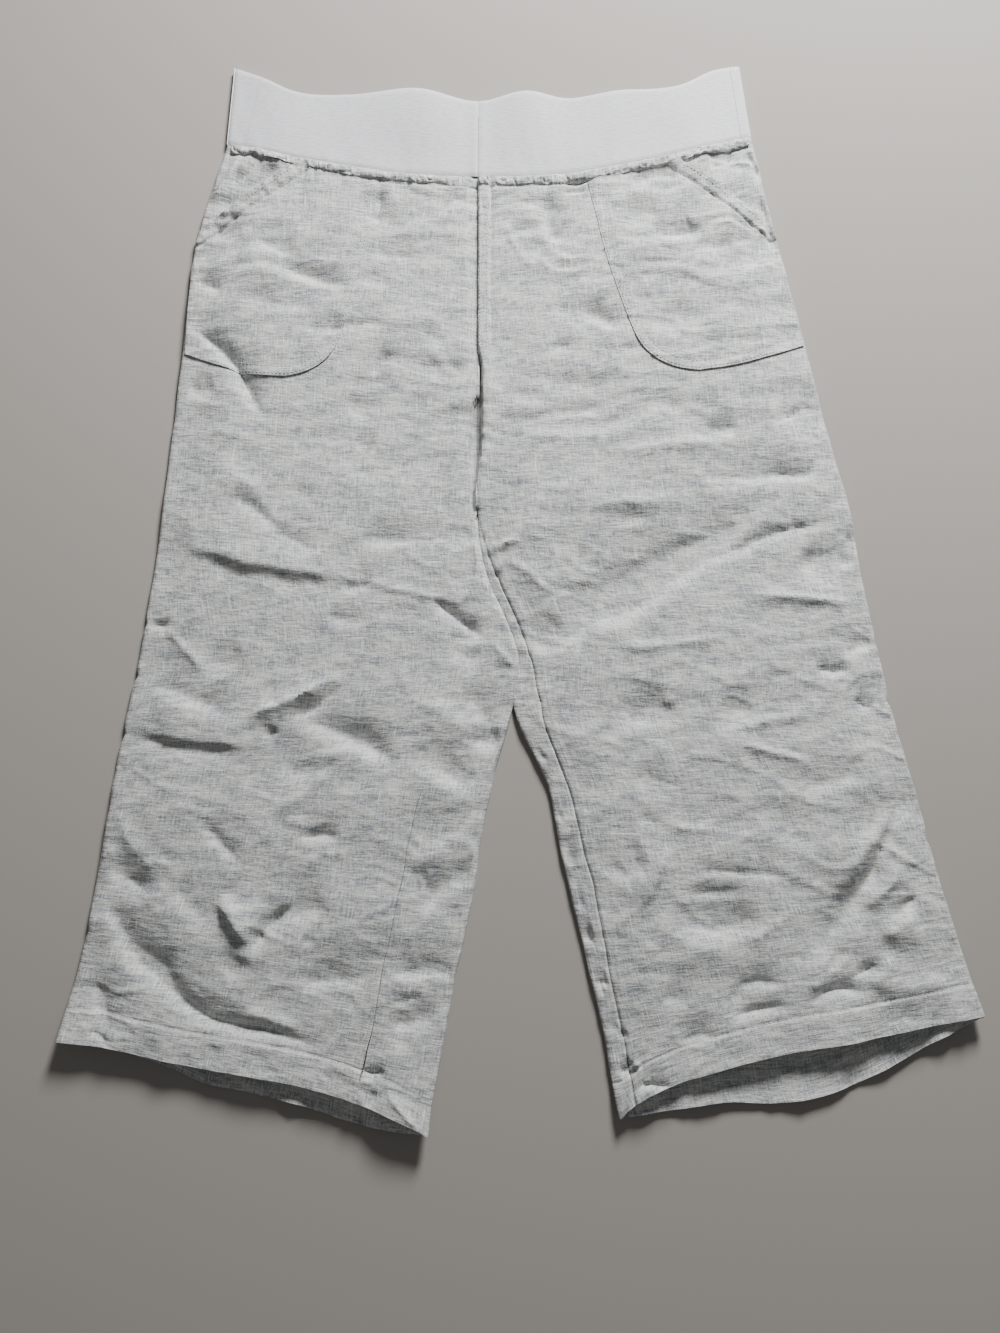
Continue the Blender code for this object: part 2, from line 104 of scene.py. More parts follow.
# Creases of the two fronts, from the waist down: profile, half width in mm, rise in
# mm (a trough is negative), and the points that the crease runs through, in cm. A step is high on
# the left of its path and drops off sharply on the right.
legs["right"]["creases"] = [
    # waist
    ("sharp", 3, -1, [(-19.5, 35.1), (-19.1, 34.4), (-18.0, 34.2)]),
    ("soft", 5, 1.1, [(-23.9, 32.9), (-23.1, 34.2), (-22.3, 35.1), (-21.4, 35.9)]),
    ("soft", 5, 1, [(-21.9, 35.1), (-20.9, 34.4), (-20.0, 34.1), (-18.7, 33.7)]),
    ("sharp", 3, -0.8, [(-24.5, 32.3), (-24.0, 32.5), (-22.6, 33.4), (-21.6, 34.8), (-21.3, 35.5)]),
    ("soft", 5, 1.4, [(-23.1, 36.4), (-23.8, 34.7), (-24.6, 33.1), (-25.5, 31.3), (-26.0, 29.5)]),
    ("soft", 4, -1.1, [(-26.1, 29.3), (-24.1, 30.8), (-22.6, 31.9), (-21.2, 32.9), (-19.3, 34.2)]),
    ("sharp", 5, -1.4, [(-11.5, 31.9), (-11.8, 30.1), (-12.2, 28.4)]),
    # upper hip
    ("soft", 5, -1, [(-12.4, 28.3), (-11.4, 28.8), (-10.1, 28.4)]),
    ("soft", 8, 0.8, [(-11.0, 27.4), (-8.4, 28.4), (-5.7, 29.1), (-4.1, 28.6)]),
    ("soft", 12, -0.9, [(-26.2, 27.8), (-24.3, 27.8), (-22.9, 27.0)]),
    ("soft", 8, -1.2, [(-22.4, 27.8), (-21.1, 26.8), (-19.8, 26.2), (-18.2, 26.2)]),
    ("soft", 6, -1, [(-12.7, 26.0), (-10.9, 25.9), (-8.4, 25.5)]),
    ("soft", 10, 0.8, [(-23.9, 26.0), (-20.7, 25.7), (-18.1, 25.5)]),
    ("soft", 7, -2.2, [(-21.9, 24.9), (-19.6, 24.7), (-17.4, 23.9), (-15.9, 23.4), (-13.8, 23.4)]),
    ("soft", 10, 1, [(-24.4, 23.2), (-22.8, 24.1), (-20.6, 24.3), (-18.1, 23.9)]),
    ("soft", 7, -0.8, [(-13.2, 23.5), (-10.2, 23.3)]),
    ("soft", 6, -1.6, [(-27.1, 23.9), (-25.8, 23.3), (-24.5, 22.6)]),
    ("soft", 9, -1, [(-23.8, 22.4), (-21.3, 21.8), (-18.7, 21.4), (-16.6, 21.4)]),
    ("soft", 9, 0.9, [(-11.9, 20.1), (-9.2, 20.0), (-5.7, 20.1)]),
    ("sharp", 4, -1.2, [(-15.5, 18.9), (-14.4, 19.5), (-12.3, 19.8), (-10.8, 19.6)]),
    ("soft", 6, -1.2, [(-18.0, 19.5), (-15.8, 19.3), (-14.4, 19.2)]),
    ("soft", 9, -1, [(-8.5, 19.4), (-6.9, 18.6), (-5.8, 17.8)]),
    # lower hip
    ("sharp", 4, -1.6, [(-12.4, 15.2), (-11.3, 16.5), (-10.3, 17.4)]),
    ("sharp", 8, -3.2, [(-27.6, 19.7), (-25.8, 18.6), (-24.3, 17.3), (-23.0, 15.6), (-22.2, 13.9),
     (-21.1, 12.1), (-20.2, 11.8)]),
    ("soft", 6, -1, [(-14.7, 14.4), (-12.5, 14.6), (-10.2, 15.0)]),
    ("soft", 7, -1.3, [(-27.5, 14.1), (-25.8, 14.1), (-24.7, 14.4)]),
    ("sharp", 3, 0.6, [(-27.3, 13.3), (-25.0, 12.9), (-23.1, 12.4)]),
    ("soft", 10, -1.4, [(-14.1, 13.7), (-13.2, 12.4), (-12.3, 11.2)]),
    ("sharp", 3, 0.7, [(-25.4, 10.8), (-23.5, 10.3), (-21.7, 10.0)]),
    ("soft", 7, -1, [(-13.8, 9.6), (-12.6, 9.3), (-11.5, 9.4)]),
    # thigh
    ("soft", 7, -0.9, [(-19.0, 5.4), (-16.6, 5.2)]),
    ("soft", 10, 1, [(-25.3, 8.2), (-23.2, 6.9), (-21.5, 5.6), (-19.8, 3.5), (-17.7, 2.3)]),
    ("sharp", 3, -0.8, [(-18.0, 3.1), (-16.7, 2.8)]),
    ("sharp", 12, -1.8, [(-24.8, 5.4), (-22.3, 4.6), (-20.6, 3.4), (-18.9, 1.8), (-16.5, 0.6),
     (-15.6, -0.2)]),
    ("soft", 8, -1.4, [(-13.6, 1.8), (-11.6, 1.6), (-8.8, 1.4), (-5.9, 1.8)]),
    ("sharp", 4, 0.9, [(-8.6, 1.0), (-7.5, 1.0), (-6.5, 0.8)]),
    ("step", 14, 1.8, [(-28.1, 1.5), (-25.0, 0.7), (-22.1, -0.3), (-18.9, -0.8), (-15.6, -1.3),
     (-12.4, -1.8)]),
    ("sharp", 5, 1, [(-3.7, 2.9), (-3.5, 0.4), (-3.7, -1.7), (-4.7, -3.4), (-6.7, -3.3)]),
    ("sharp", 6, -1.8, [(-14.4, -2.5), (-12.8, -2.3), (-11.6, -2.0)]),
    ("sharp", 4, 0.9, [(-13.6, -1.6), (-11.5, -2.1), (-9.5, -2.6), (-6.7, -3.2), (-4.5, -3.5)]),
    # knee
    ("sharp", 7, -2.4, [(-7.5, -2.8), (-5.7, -4.4), (-4.1, -5.6), (-2.4, -6.7)]),
    ("soft", 5, -0.8, [(-15.5, -4.9), (-13.5, -5.1), (-11.9, -5.2)]),
    ("sharp", 5, -2, [(-29.7, -5.6), (-28.6, -5.4), (-27.7, -5.6)]),
    ("soft", 5, -0.9, [(-6.1, -6.6), (-4.7, -6.4), (-3.0, -6.5)]),
    ("sharp", 3, 0.7, [(-28.4, -5.1), (-26.7, -7.0), (-25.4, -8.4), (-24.4, -10.0)]),
    ("sharp", 4, 0.9, [(-2.6, -6.6), (-1.4, -7.8), (-0.3, -8.9)]),
    ("soft", 10, -1.3, [(-6.0, -7.0), (-4.4, -7.8), (-3.0, -9.0)]),
    ("soft", 14, -1.4, [(-25.6, -7.8), (-23.0, -8.4), (-21.4, -8.2)]),
    ("sharp", 3, 0.8, [(-14.1, -8.0), (-14.2, -9.0)]),
    ("sharp", 7, 2.8, [(-21.7, -12.9), (-19.9, -12.1), (-18.5, -11.6), (-16.8, -10.8), (-15.4, -9.9),
     (-14.2, -9.2)]),
    ("soft", 9, -1.8, [(-29.8, -9.7), (-27.3, -10.6), (-24.3, -11.8), (-21.7, -12.9)]),
    ("sharp", 7, -1.8, [(-18.5, -12.8), (-16.5, -12.2), (-15.0, -11.1), (-14.0, -9.8)]),
    ("sharp", 5, -1.8, [(-20.1, -11.8), (-19.3, -11.6), (-18.5, -11.6)]),
    ("soft", 11, -1.4, [(-4.8, -10.8), (-3.4, -11.8), (-2.0, -13.6)]),
    ("soft", 10, 1, [(-8.2, -11.4), (-5.8, -12.6), (-3.4, -14.4)]),
    ("sharp", 5, -2.2, [(-20.1, -14.3), (-19.4, -14.0), (-18.9, -13.6)]),
    ("soft", 9, -2, [(-17.7, -12.8), (-15.3, -13.5), (-13.3, -14.4), (-10.3, -15.8)]),
    ("soft", 9, -2.2, [(-4.0, -14.2), (-2.6, -14.7), (-1.2, -14.2)]),
    ("step", 13, 1.7, [(-30.6, -13.5), (-28.2, -14.0), (-25.2, -14.5), (-22.4, -14.7), (-20.4, -15.2)]),
    ("soft", 12, -1.6, [(-30.7, -14.2), (-27.5, -14.7), (-24.3, -15.1), (-21.3, -15.3)]),
    ("soft", 8, -2, [(-14.2, -14.2), (-12.4, -14.9), (-10.8, -15.7), (-9.7, -16.1)]),
    ("soft", 10, 1.2, [(-17.1, -16.1), (-14.8, -15.6), (-12.8, -15.1), (-10.4, -16.1)]),
    ("sharp", 4, -1.2, [(-15.7, -17.5), (-14.8, -16.5), (-14.2, -16.1)]),
    ("soft", 9, -1.4, [(-18.7, -17.3), (-17.1, -17.1), (-15.7, -17.5)]),
    ("soft", 11, -1.4, [(-6.9, -17.5), (-5.5, -17.3), (-4.1, -18.7)]),
    # calf
    ("soft", 12, 1.4, [(-9.7, -16.3), (-6.5, -17.9), (-3.2, -19.8)]),
    ("sharp", 4, 1, [(-19.4, -20.6), (-17.5, -19.1), (-15.7, -17.7), (-14.2, -16.5)]),
    ("sharp", 6, -1.8, [(-17.2, -22.1), (-15.8, -21.9), (-13.7, -21.8)]),
    ("sharp", 7, -1.6, [(-24.5, -20.6), (-23.2, -22.3), (-22.0, -23.5), (-21.2, -24.1)]),
    ("soft", 10, 1.2, [(-31.3, -19.6), (-30.0, -22.3), (-28.2, -24.3), (-27.2, -25.4)]),
    ("soft", 9, 1.2, [(-8.6, -24.4), (-7.0, -23.3), (-5.5, -22.3)]),
    ("soft", 12, -1.8, [(-31.9, -24.6), (-30.1, -25.0), (-28.4, -26.9)]),
    ("soft", 8, -2.4, [(-8.5, -26.5), (-7.2, -26.7), (-5.8, -25.6), (-4.5, -24.7), (-3.3, -24.3)]),
    ("soft", 8, -1.2, [(-22.7, -25.8), (-21.9, -26.5), (-21.1, -27.7)]),
    ("soft", 10, -1.2, [(-27.2, -24.8), (-25.7, -26.7), (-24.2, -27.9), (-22.6, -28.8)]),
    ("soft", 10, -1.4, [(-18.4, -27.5), (-16.4, -27.5), (-14.5, -26.9)]),
    ("soft", 8, 1.4, [(-32.1, -27.1), (-31.3, -28.4), (-30.4, -29.5)]),
    ("step", 9, 2.6, [(-23.1, -26.2), (-22.0, -27.9), (-20.8, -29.7), (-20.4, -30.2)]),
    ("sharp", 7, -3, [(-21.0, -30.4), (-20.2, -30.0), (-19.5, -29.0), (-18.4, -27.9), (-17.4, -26.9)]),
    ("sharp", 6, -1.4, [(-16.4, -29.4), (-15.6, -30.1)]),
    # hem
    ("soft", 11, -2.6, [(-31.9, -26.7), (-31.1, -27.9), (-30.0, -29.5), (-29.0, -30.8), (-27.4, -32.1),
     (-25.8, -33.8)]),
    ("soft", 8, -1.2, [(-22.2, -32.5), (-21.3, -31.6), (-20.8, -30.7)]),
    ("step", 9, -2.2, [(-10.1, -32.1), (-7.9, -32.0), (-6.4, -31.9), (-4.6, -32.2)]),
    ("soft", 10, -1.2, [(-16.7, -33.1), (-14.8, -32.6), (-12.5, -32.4), (-10.2, -32.3)]),
    ("soft", 8, -1.2, [(-17.1, -33.1), (-15.0, -32.7), (-12.3, -32.6)]),
    ("sharp", 4, -1, [(-9.7, -34.3), (-8.5, -34.0), (-7.5, -33.6)]),
    ("sharp", 9, -3.4, [(-30.9, -29.2), (-29.0, -31.0), (-27.0, -32.7), (-25.1, -34.4), (-23.1, -35.5),
     (-21.2, -35.9), (-18.6, -36.3), (-16.4, -37.0), (-14.1, -37.4)]),
    ("soft", 7, -1.8, [(-31.9, -31.9), (-31.8, -33.8), (-31.3, -35.3), (-31.3, -36.8)]),
    ("sharp", 3, -1.4, [(-32.3, -34.5), (-31.1, -34.8)]),
    ("soft", 9, 1.6, [(-22.0, -35.1), (-19.6, -35.1), (-17.7, -35.7), (-16.1, -36.4)]),
    ("soft", 8, -2, [(-10.5, -35.7), (-8.9, -35.8), (-7.3, -35.5), (-6.1, -35.9)]),
    ("sharp", 4, -1.8, [(-32.4, -36.1), (-31.4, -36.6), (-30.7, -37.4)]),
    ("soft", 8, -1, [(-10.4, -36.3), (-8.9, -37.2), (-7.9, -37.6)]),
    ("soft", 6, -0.8, [(-23.4, -38.7), (-22.5, -37.2)]),
    ("soft", 6, -0.8, [(-19.1, -39.4), (-18.3, -38.7)]),
    ("sharp", 3, -2.4, [(-12.0, -39.0), (-11.2, -39.2), (-10.0, -39.1)]),
    ("sharp", 3, -1.2, [(-11.6, -39.3), (-11.4, -39.7)]),
    ("sharp", 3, -1.2, [(-11.1, -39.2), (-11.1, -39.8)]),
    ("sharp", 6, -1.2, [(-10.8, -40.2), (-11.1, -41.1), (-11.8, -41.4)]),
    ("sharp", 3, 0.9, [(-10.2, -40.2), (-9.0, -41.6), (-7.4, -43.3)]),
]
legs["left"]["creases"] = [
    # waist
    ("soft", 5, 1.3, [(14.4, 35.1), (15.5, 35.1), (16.7, 35.9)]),
    ("sharp", 3, -1.4, [(13.0, 34.5), (14.1, 34.3), (15.5, 34.8)]),
    ("soft", 8, -1.5, [(15.5, 33.8), (17.4, 34.3), (18.8, 34.6)]),
    ("sharp", 4, -2, [(19.3, 35.5), (20.0, 33.9), (20.5, 32.7)]),
    ("sharp", 3, -1.6, [(2.9, 33.0), (3.8, 32.4), (5.6, 32.6), (5.9, 33.1)]),
    ("soft", 8, -1.3, [(9.3, 31.7), (10.7, 32.7), (12.6, 33.1), (13.5, 32.3)]),
    ("soft", 6, -1.2, [(-1.3, 32.1), (-0.6, 32.3), (0.2, 32.1)]),
    ("soft", 6, -0.9, [(11.4, 31.5), (12.5, 31.8), (13.8, 32.1)]),
    ("sharp", 3, -1.2, [(3.3, 31.5), (4.5, 31.5), (5.8, 31.6)]),
    ("soft", 7, -1, [(16.5, 31.5), (18.3, 31.1), (19.7, 29.7)]),
    ("soft", 10, 0.8, [(7.1, 30.1), (9.6, 31.1), (12.2, 30.9)]),
    # upper hip
    ("soft", 9, -0.9, [(8.5, 28.8), (9.9, 29.3), (12.1, 29.5)]),
    ("soft", 8, -2, [(2.9, 31.2), (2.3, 29.7), (2.6, 28.0), (3.6, 26.5)]),
    ("sharp", 4, -2.4, [(20.2, 31.5), (20.5, 29.7), (20.9, 27.8), (21.1, 26.2)]),
    ("sharp", 4, 0.9, [(15.7, 28.4), (17.4, 28.7), (19.0, 28.2)]),
    ("sharp", 4, -1, [(17.5, 28.7), (19.0, 28.4), (20.2, 27.7)]),
    ("soft", 7, -2.4, [(10.3, 27.5), (11.7, 27.7), (13.4, 27.8), (14.6, 28.0), (15.5, 29.0)]),
    ("soft", 6, -1.1, [(13.1, 26.2), (15.7, 26.4), (18.2, 27.0), (20.0, 27.8)]),
    ("soft", 6, 0.9, [(7.7, 26.2), (11.0, 26.5), (14.6, 27.4)]),
    ("sharp", 3, 0.6, [(1.8, 28.8), (2.5, 26.4), (3.8, 25.5), (5.6, 25.8)]),
    ("sharp", 3, 0.6, [(-1.3, 29.3), (-0.6, 27.0), (0.3, 25.5), (1.9, 24.3)]),
    ("soft", 10, -0.9, [(15.6, 24.7), (18.2, 25.5), (20.7, 26.2)]),
    ("sharp", 3, 0.7, [(0.9, 27.0), (1.6, 25.5), (2.7, 24.5), (4.3, 24.3), (6.3, 25.3)]),
    ("soft", 6, -0.9, [(9.5, 23.8), (10.9, 24.1), (12.0, 24.1)]),
    ("soft", 8, -0.9, [(2.5, 23.0), (3.7, 23.0), (4.4, 22.4)]),
    ("soft", 6, -1.2, [(9.1, 21.8), (10.2, 21.9), (11.1, 22.0)]),
    ("soft", 9, -0.7, [(10.5, 19.9), (12.6, 20.2), (14.8, 21.1)]),
    ("soft", 10, -0.9, [(2.6, 21.2), (4.2, 20.5), (5.5, 19.2)]),
    ("soft", 7, -2, [(5.1, 19.9), (6.2, 20.5), (7.4, 19.8), (8.3, 19.3)]),
    ("soft", 9, -0.6, [(10.8, 18.6), (13.5, 19.5), (16.2, 19.9)]),
    ("soft", 6, -0.9, [(5.3, 18.9), (6.9, 18.6)]),
    # lower hip
    ("sharp", 4, -1, [(7.9, 17.7), (9.7, 17.8)]),
    ("sharp", 5, -1.6, [(2.3, 17.7), (3.3, 17.8), (4.2, 17.6)]),
    ("soft", 10, -1.1, [(1.5, 14.1), (3.7, 14.4), (5.9, 14.3), (7.9, 13.4)]),
    ("soft", 5, -0.7, [(11.9, 12.3), (13.5, 12.8)]),
    ("soft", 5, -0.9, [(1.3, 11.9), (4.3, 12.2), (7.3, 12.3)]),
    ("sharp", 4, -1.8, [(21.0, 11.2), (22.6, 12.3), (24.3, 12.8)]),
    ("soft", 8, -1.1, [(15.0, 10.5), (17.7, 11.2)]),
    ("soft", 5, -0.9, [(13.8, 10.2), (16.8, 10.7), (18.1, 11.0)]),
    ("sharp", 4, 0.6, [(0.3, 10.3), (2.5, 10.2), (4.2, 9.7)]),
    ("soft", 5, 0.9, [(7.2, 9.1), (10.3, 9.2), (14.6, 9.6), (17.9, 9.7)]),
    # thigh
    ("sharp", 5, -1.6, [(18.8, 6.4), (21.0, 7.1), (23.2, 6.9), (23.7, 7.8), (24.3, 8.7)]),
    ("step", 14, -1.9, [(13.9, 6.0), (15.8, 6.3), (17.7, 6.5), (20.2, 7.0), (22.8, 7.2), (24.0, 7.9)]),
    ("sharp", 3, 0.9, [(13.9, 6.0), (15.8, 6.3), (17.7, 6.4), (19.0, 6.7)]),
    ("soft", 6, 1, [(5.0, 4.4), (8.0, 4.6), (11.2, 4.8), (13.6, 5.3)]),
    ("sharp", 3, 0.9, [(16.6, 3.2), (17.9, 3.3)]),
    ("soft", 5, -0.8, [(7.1, 3.0), (10.8, 3.3)]),
    ("sharp", 3, 0.7, [(11.4, 2.4), (14.4, 2.1), (16.3, 2.0)]),
    ("sharp", 6, -1.9, [(13.7, -0.5), (17.6, 0.8), (20.6, 2.1), (22.8, 2.6), (24.7, 2.9), (26.7, 2.9)]),
    ("sharp", 4, -1.8, [(25.9, 1.7), (27.0, 1.4)]),
    ("sharp", 3, 1.1, [(-2.8, 0.9), (-1.4, 1.3), (0.4, 1.6)]),
    ("soft", 8, -1.6, [(21.6, 0.0), (23.5, -0.2), (25.8, -0.2), (27.1, -0.2)]),
    ("sharp", 5, -1.6, [(9.2, 0.2), (10.1, -0.6), (11.3, -0.6), (12.4, -0.2)]),
    ("soft", 13, -1.5, [(21.8, -0.2), (23.7, -1.1), (25.5, -1.8)]),
    ("sharp", 4, -2, [(6.0, -2.2), (8.8, -1.7), (11.3, -1.1), (13.0, -0.5), (14.1, 0.0)]),
    ("sharp", 3, -0.9, [(18.1, -0.7), (19.2, -1.6)]),
    ("step", 17, -4.6, [(2.5, -8.5), (3.8, -6.3), (5.3, -5.1), (7.9, -4.2), (9.6, -3.3), (11.0, -2.1),
     (13.0, -0.7), (14.8, 0.4), (16.1, 1.6), (17.6, 3.2), (18.7, 4.3), (20.5, 5.4)]),
    ("sharp", 4, -1.2, [(-3.1, -1.8), (-1.4, -1.1)]),
    ("soft", 4, 1.4, [(17.2, -3.0), (20.2, -3.0), (22.7, -3.2), (25.5, -3.4), (27.2, -3.0)]),
    # knee
    ("sharp", 3, -1.2, [(-1.4, -4.9), (-0.3, -4.6)]),
    ("soft", 9, 1.2, [(4.1, -5.9), (6.2, -4.6), (8.7, -3.9)]),
    ("soft", 8, -1.3, [(1.7, -8.0), (2.5, -6.3), (3.6, -4.8)]),
    ("soft", 3, 0.8, [(7.0, -7.2), (9.9, -7.1), (13.1, -6.7), (16.9, -6.3)]),
    ("step", 7, -1.8, [(25.4, -8.1), (26.8, -7.0), (28.1, -6.7)]),
    ("sharp", 5, -1.9, [(22.7, -8.8), (24.6, -9.1), (26.1, -8.9)]),
    ("sharp", 5, -2.2, [(25.9, -11.1), (27.1, -11.8), (28.0, -11.9)]),
    ("soft", 10, -1, [(8.1, -14.1), (9.8, -12.0), (11.1, -9.9)]),
    ("soft", 12, -1.2, [(15.0, -12.6), (17.1, -12.2), (18.4, -11.8)]),
    ("soft", 8, -1, [(11.5, -13.7), (11.9, -11.4)]),
    ("soft", 4, 0.9, [(17.3, -13.3), (20.2, -12.7), (23.2, -12.4)]),
    ("soft", 3, 0.9, [(19.8, -12.8), (16.9, -13.5)]),
    ("soft", 10, -1.2, [(8.3, -13.3), (9.2, -12.6), (10.8, -13.9)]),
    ("soft", 8, 1.2, [(9.1, -16.4), (10.4, -15.3), (11.6, -14.5)]),
    ("sharp", 4, 1.2, [(16.4, -14.6), (18.7, -15.2), (20.7, -15.7), (22.8, -16.4)]),
    ("soft", 5, -1.6, [(1.0, -16.6), (2.1, -15.6)]),
    ("soft", 12, -1.3, [(11.7, -12.6), (10.8, -15.1), (10.5, -17.6), (10.1, -20.0)]),
    ("soft", 11, -1.8, [(20.7, -17.4), (22.3, -17.9), (24.8, -17.4), (27.3, -16.5)]),
    # calf
    ("soft", 5, -1.6, [(2.0, -21.1), (3.3, -20.2)]),
    ("sharp", 4, -1.4, [(8.7, -20.5), (9.8, -20.7), (10.7, -20.9)]),
    ("sharp", 3, 0.8, [(10.5, -20.8), (12.7, -21.2), (15.2, -21.3)]),
    ("soft", 12, -1.3, [(18.6, -21.7), (20.9, -22.1), (22.9, -22.7)]),
    ("soft", 14, 2.6, [(29.5, -18.4), (27.9, -21.3), (26.2, -22.9), (24.8, -25.3), (23.9, -26.9)]),
    ("soft", 7, -2.2, [(2.5, -22.9), (3.5, -23.5), (4.4, -23.7)]),
    ("soft", 13, -1.4, [(7.5, -25.7), (8.6, -24.1), (9.8, -23.5)]),
    ("sharp", 5, -1.2, [(12.2, -24.8), (14.7, -24.5), (17.3, -24.7), (20.8, -24.9)]),
    ("step", 9, 1.6, [(8.9, -27.5), (9.9, -25.7), (10.8, -23.7), (11.2, -22.3)]),
    ("sharp", 4, -2.4, [(26.0, -25.9), (26.9, -25.1), (27.8, -24.1)]),
    ("sharp", 14, -4.4, [(30.7, -18.4), (29.2, -19.6), (28.0, -22.1), (26.9, -24.5), (25.3, -26.9),
     (23.8, -28.8), (22.7, -30.8), (22.0, -32.8)]),
    ("sharp", 5, 1.8, [(25.9, -27.5), (26.6, -26.5), (27.9, -25.5), (28.8, -23.7)]),
    ("soft", 5, -0.9, [(11.8, -26.4), (14.6, -26.1), (17.9, -25.9)]),
    ("soft", 5, -1.6, [(3.7, -27.2), (5.0, -26.9)]),
    ("sharp", 5, -2, [(28.3, -28.3), (29.2, -27.1), (30.2, -26.1)]),
    ("soft", 14, -2.2, [(11.3, -27.7), (12.9, -28.3), (14.3, -28.8), (16.2, -28.5), (18.6, -27.7)]),
    ("soft", 9, 1.8, [(27.0, -29.6), (28.5, -28.5), (30.1, -27.7)]),
    ("sharp", 4, 0.8, [(16.5, -30.0), (18.6, -28.8), (20.9, -27.3)]),
    ("soft", 12, 1.2, [(9.7, -27.7), (11.3, -29.2), (13.7, -30.2), (16.5, -29.6)]),
    ("soft", 6, -2.2, [(4.2, -29.6), (5.6, -29.3)]),
    ("sharp", 4, -2, [(4.5, -29.6), (5.5, -29.5)]),
    # hem
    ("sharp", 4, -1.6, [(23.0, -31.9), (23.8, -31.1), (24.5, -29.9)]),
    ("sharp", 5, -1.6, [(25.1, -32.4), (26.5, -31.6), (27.4, -30.8)]),
    ("sharp", 8, 2, [(22.8, -29.7), (22.1, -31.7), (21.6, -34.1)]),
    ("sharp", 5, -1.6, [(25.0, -32.4), (26.0, -31.9), (26.7, -31.3)]),
    ("soft", 9, 1.6, [(26.0, -33.3), (26.9, -32.1), (27.6, -30.5)]),
    ("sharp", 4, -2.2, [(5.2, -33.0), (6.7, -32.7)]),
    ("soft", 8, 1.2, [(27.2, -33.3), (30.3, -32.8), (32.8, -32.6)]),
    ("sharp", 4, -1.6, [(5.4, -33.5), (6.3, -33.3)]),
    ("sharp", 6, -2.6, [(21.8, -34.3), (22.5, -33.6), (23.9, -33.2), (25.8, -33.5)]),
    ("sharp", 7, -2, [(15.6, -35.5), (16.3, -34.1), (16.7, -33.1), (18.4, -32.7), (20.0, -32.9)]),
    ("soft", 8, -1.4, [(10.4, -33.5), (11.6, -33.9), (12.6, -34.1)]),
    ("sharp", 5, -1.8, [(15.4, -35.8), (16.7, -35.0), (18.3, -34.6), (20.0, -34.5)]),
    ("soft", 5, -1, [(28.1, -34.9), (29.3, -35.7)]),
    ("soft", 5, -1.4, [(7.4, -36.8), (7.8, -36.2)]),
    ("soft", 6, -1.4, [(11.7, -37.2), (12.9, -36.6), (14.6, -36.4)]),
    ("sharp", 4, 1.6, [(7.6, -39.2), (8.3, -38.6), (8.9, -38.4)]),
    ("sharp", 3, -2.6, [(7.3, -39.6), (7.9, -38.9), (8.4, -38.3)]),
    ("sharp", 3, -2.2, [(7.9, -39.5), (8.6, -38.8)]),
    ("sharp", 4, 1.6, [(9.6, -39.8), (9.0, -39.6)]),
    ("sharp", 4, -1.8, [(8.4, -40.3), (9.4, -40.0), (10.2, -40.1), (11.2, -40.0)]),
]
creaseStrength = 2.7   # all listed creases together
seamX = legs["right"]["levels"][0][2]   # the centre front seam


def ease(t):
    t = np.clip(t, 0.0, 1.0)
    return t * t * (3.0 - 2.0 * t)


def bell(distance, width):
    return np.exp(-(distance / width) ** 2)


def throughPoints(places, values, wanted):
    # smooth curve through unevenly placed values
    places, values = np.asarray(places, float), np.asarray(values, float)
    if places[0] > places[-1]:
        places, values = places[::-1], values[::-1]
    wanted = np.clip(wanted, places[0], places[-1])
    slopes = np.gradient(values, places)
    n = np.clip(np.searchsorted(places, wanted) - 1, 0, len(places) - 2)
    step = places[n + 1] - places[n]
    t = (wanted - places[n]) / step
    rise = values[n + 1] - values[n]
    start = values[n] + t * step * slopes[n]
    bend = t * t * (3 * rise - step * (2 * slopes[n] + slopes[n + 1]))
    return start + bend + t ** 3 * (step * (slopes[n] + slopes[n + 1]) - 2 * rise)


def softNoise(x, y, seed):
    # smooth waves between about -1 and 1, one to each unit of x and of y
    size = 64
    lattice = np.random.default_rng(seed).uniform(-1, 1, (size, size))
    column, row = np.floor(x).astype(int), np.floor(y).astype(int)
    across, up = x - column, y - row
    across = across ** 3 * (across * (across * 6 - 15) + 10)
    up = up ** 3 * (up * (up * 6 - 15) + 10)
    column, row = column % size, row % size
    nextColumn, nextRow = (column + 1) % size, (row + 1) % size
    low = lattice[row, column] * (1 - across) + lattice[row, nextColumn] * across
    high = lattice[nextRow, column] * (1 - across) + lattice[nextRow, nextColumn] * across
    return low * (1 - up) + high * up


def sharpLines(x, y, sharpness, seed):
    # narrow lines that wander as the smooth waves cross their middle
    return np.maximum(1 - sharpness * np.abs(softNoise(x, y, seed)), 0)


def curveLine(points, stepsEach=5):
    # smooth line through a few points, by the share of the way along
    points = np.asarray(points, float)
    if len(points) == 2:
        return points
    along = np.concatenate([[0], np.cumsum(np.hypot(*np.diff(points, axis=0).T))])
    wanted = np.linspace(0, along[-1], stepsEach * (len(points) - 1) + 1)
    return np.column_stack([throughPoints(along, points[:, n], wanted) for n in (0, 1)])


def evenAlong(line, count):
    # the same line in even steps
    line = np.asarray(line, float)
    along = np.concatenate([[0], np.cumsum(np.hypot(*np.diff(line, axis=0).T))])
    wanted = np.linspace(0, along[-1], count)
    return np.column_stack([np.interp(wanted, along, line[:, n]) for n in (0, 1)])


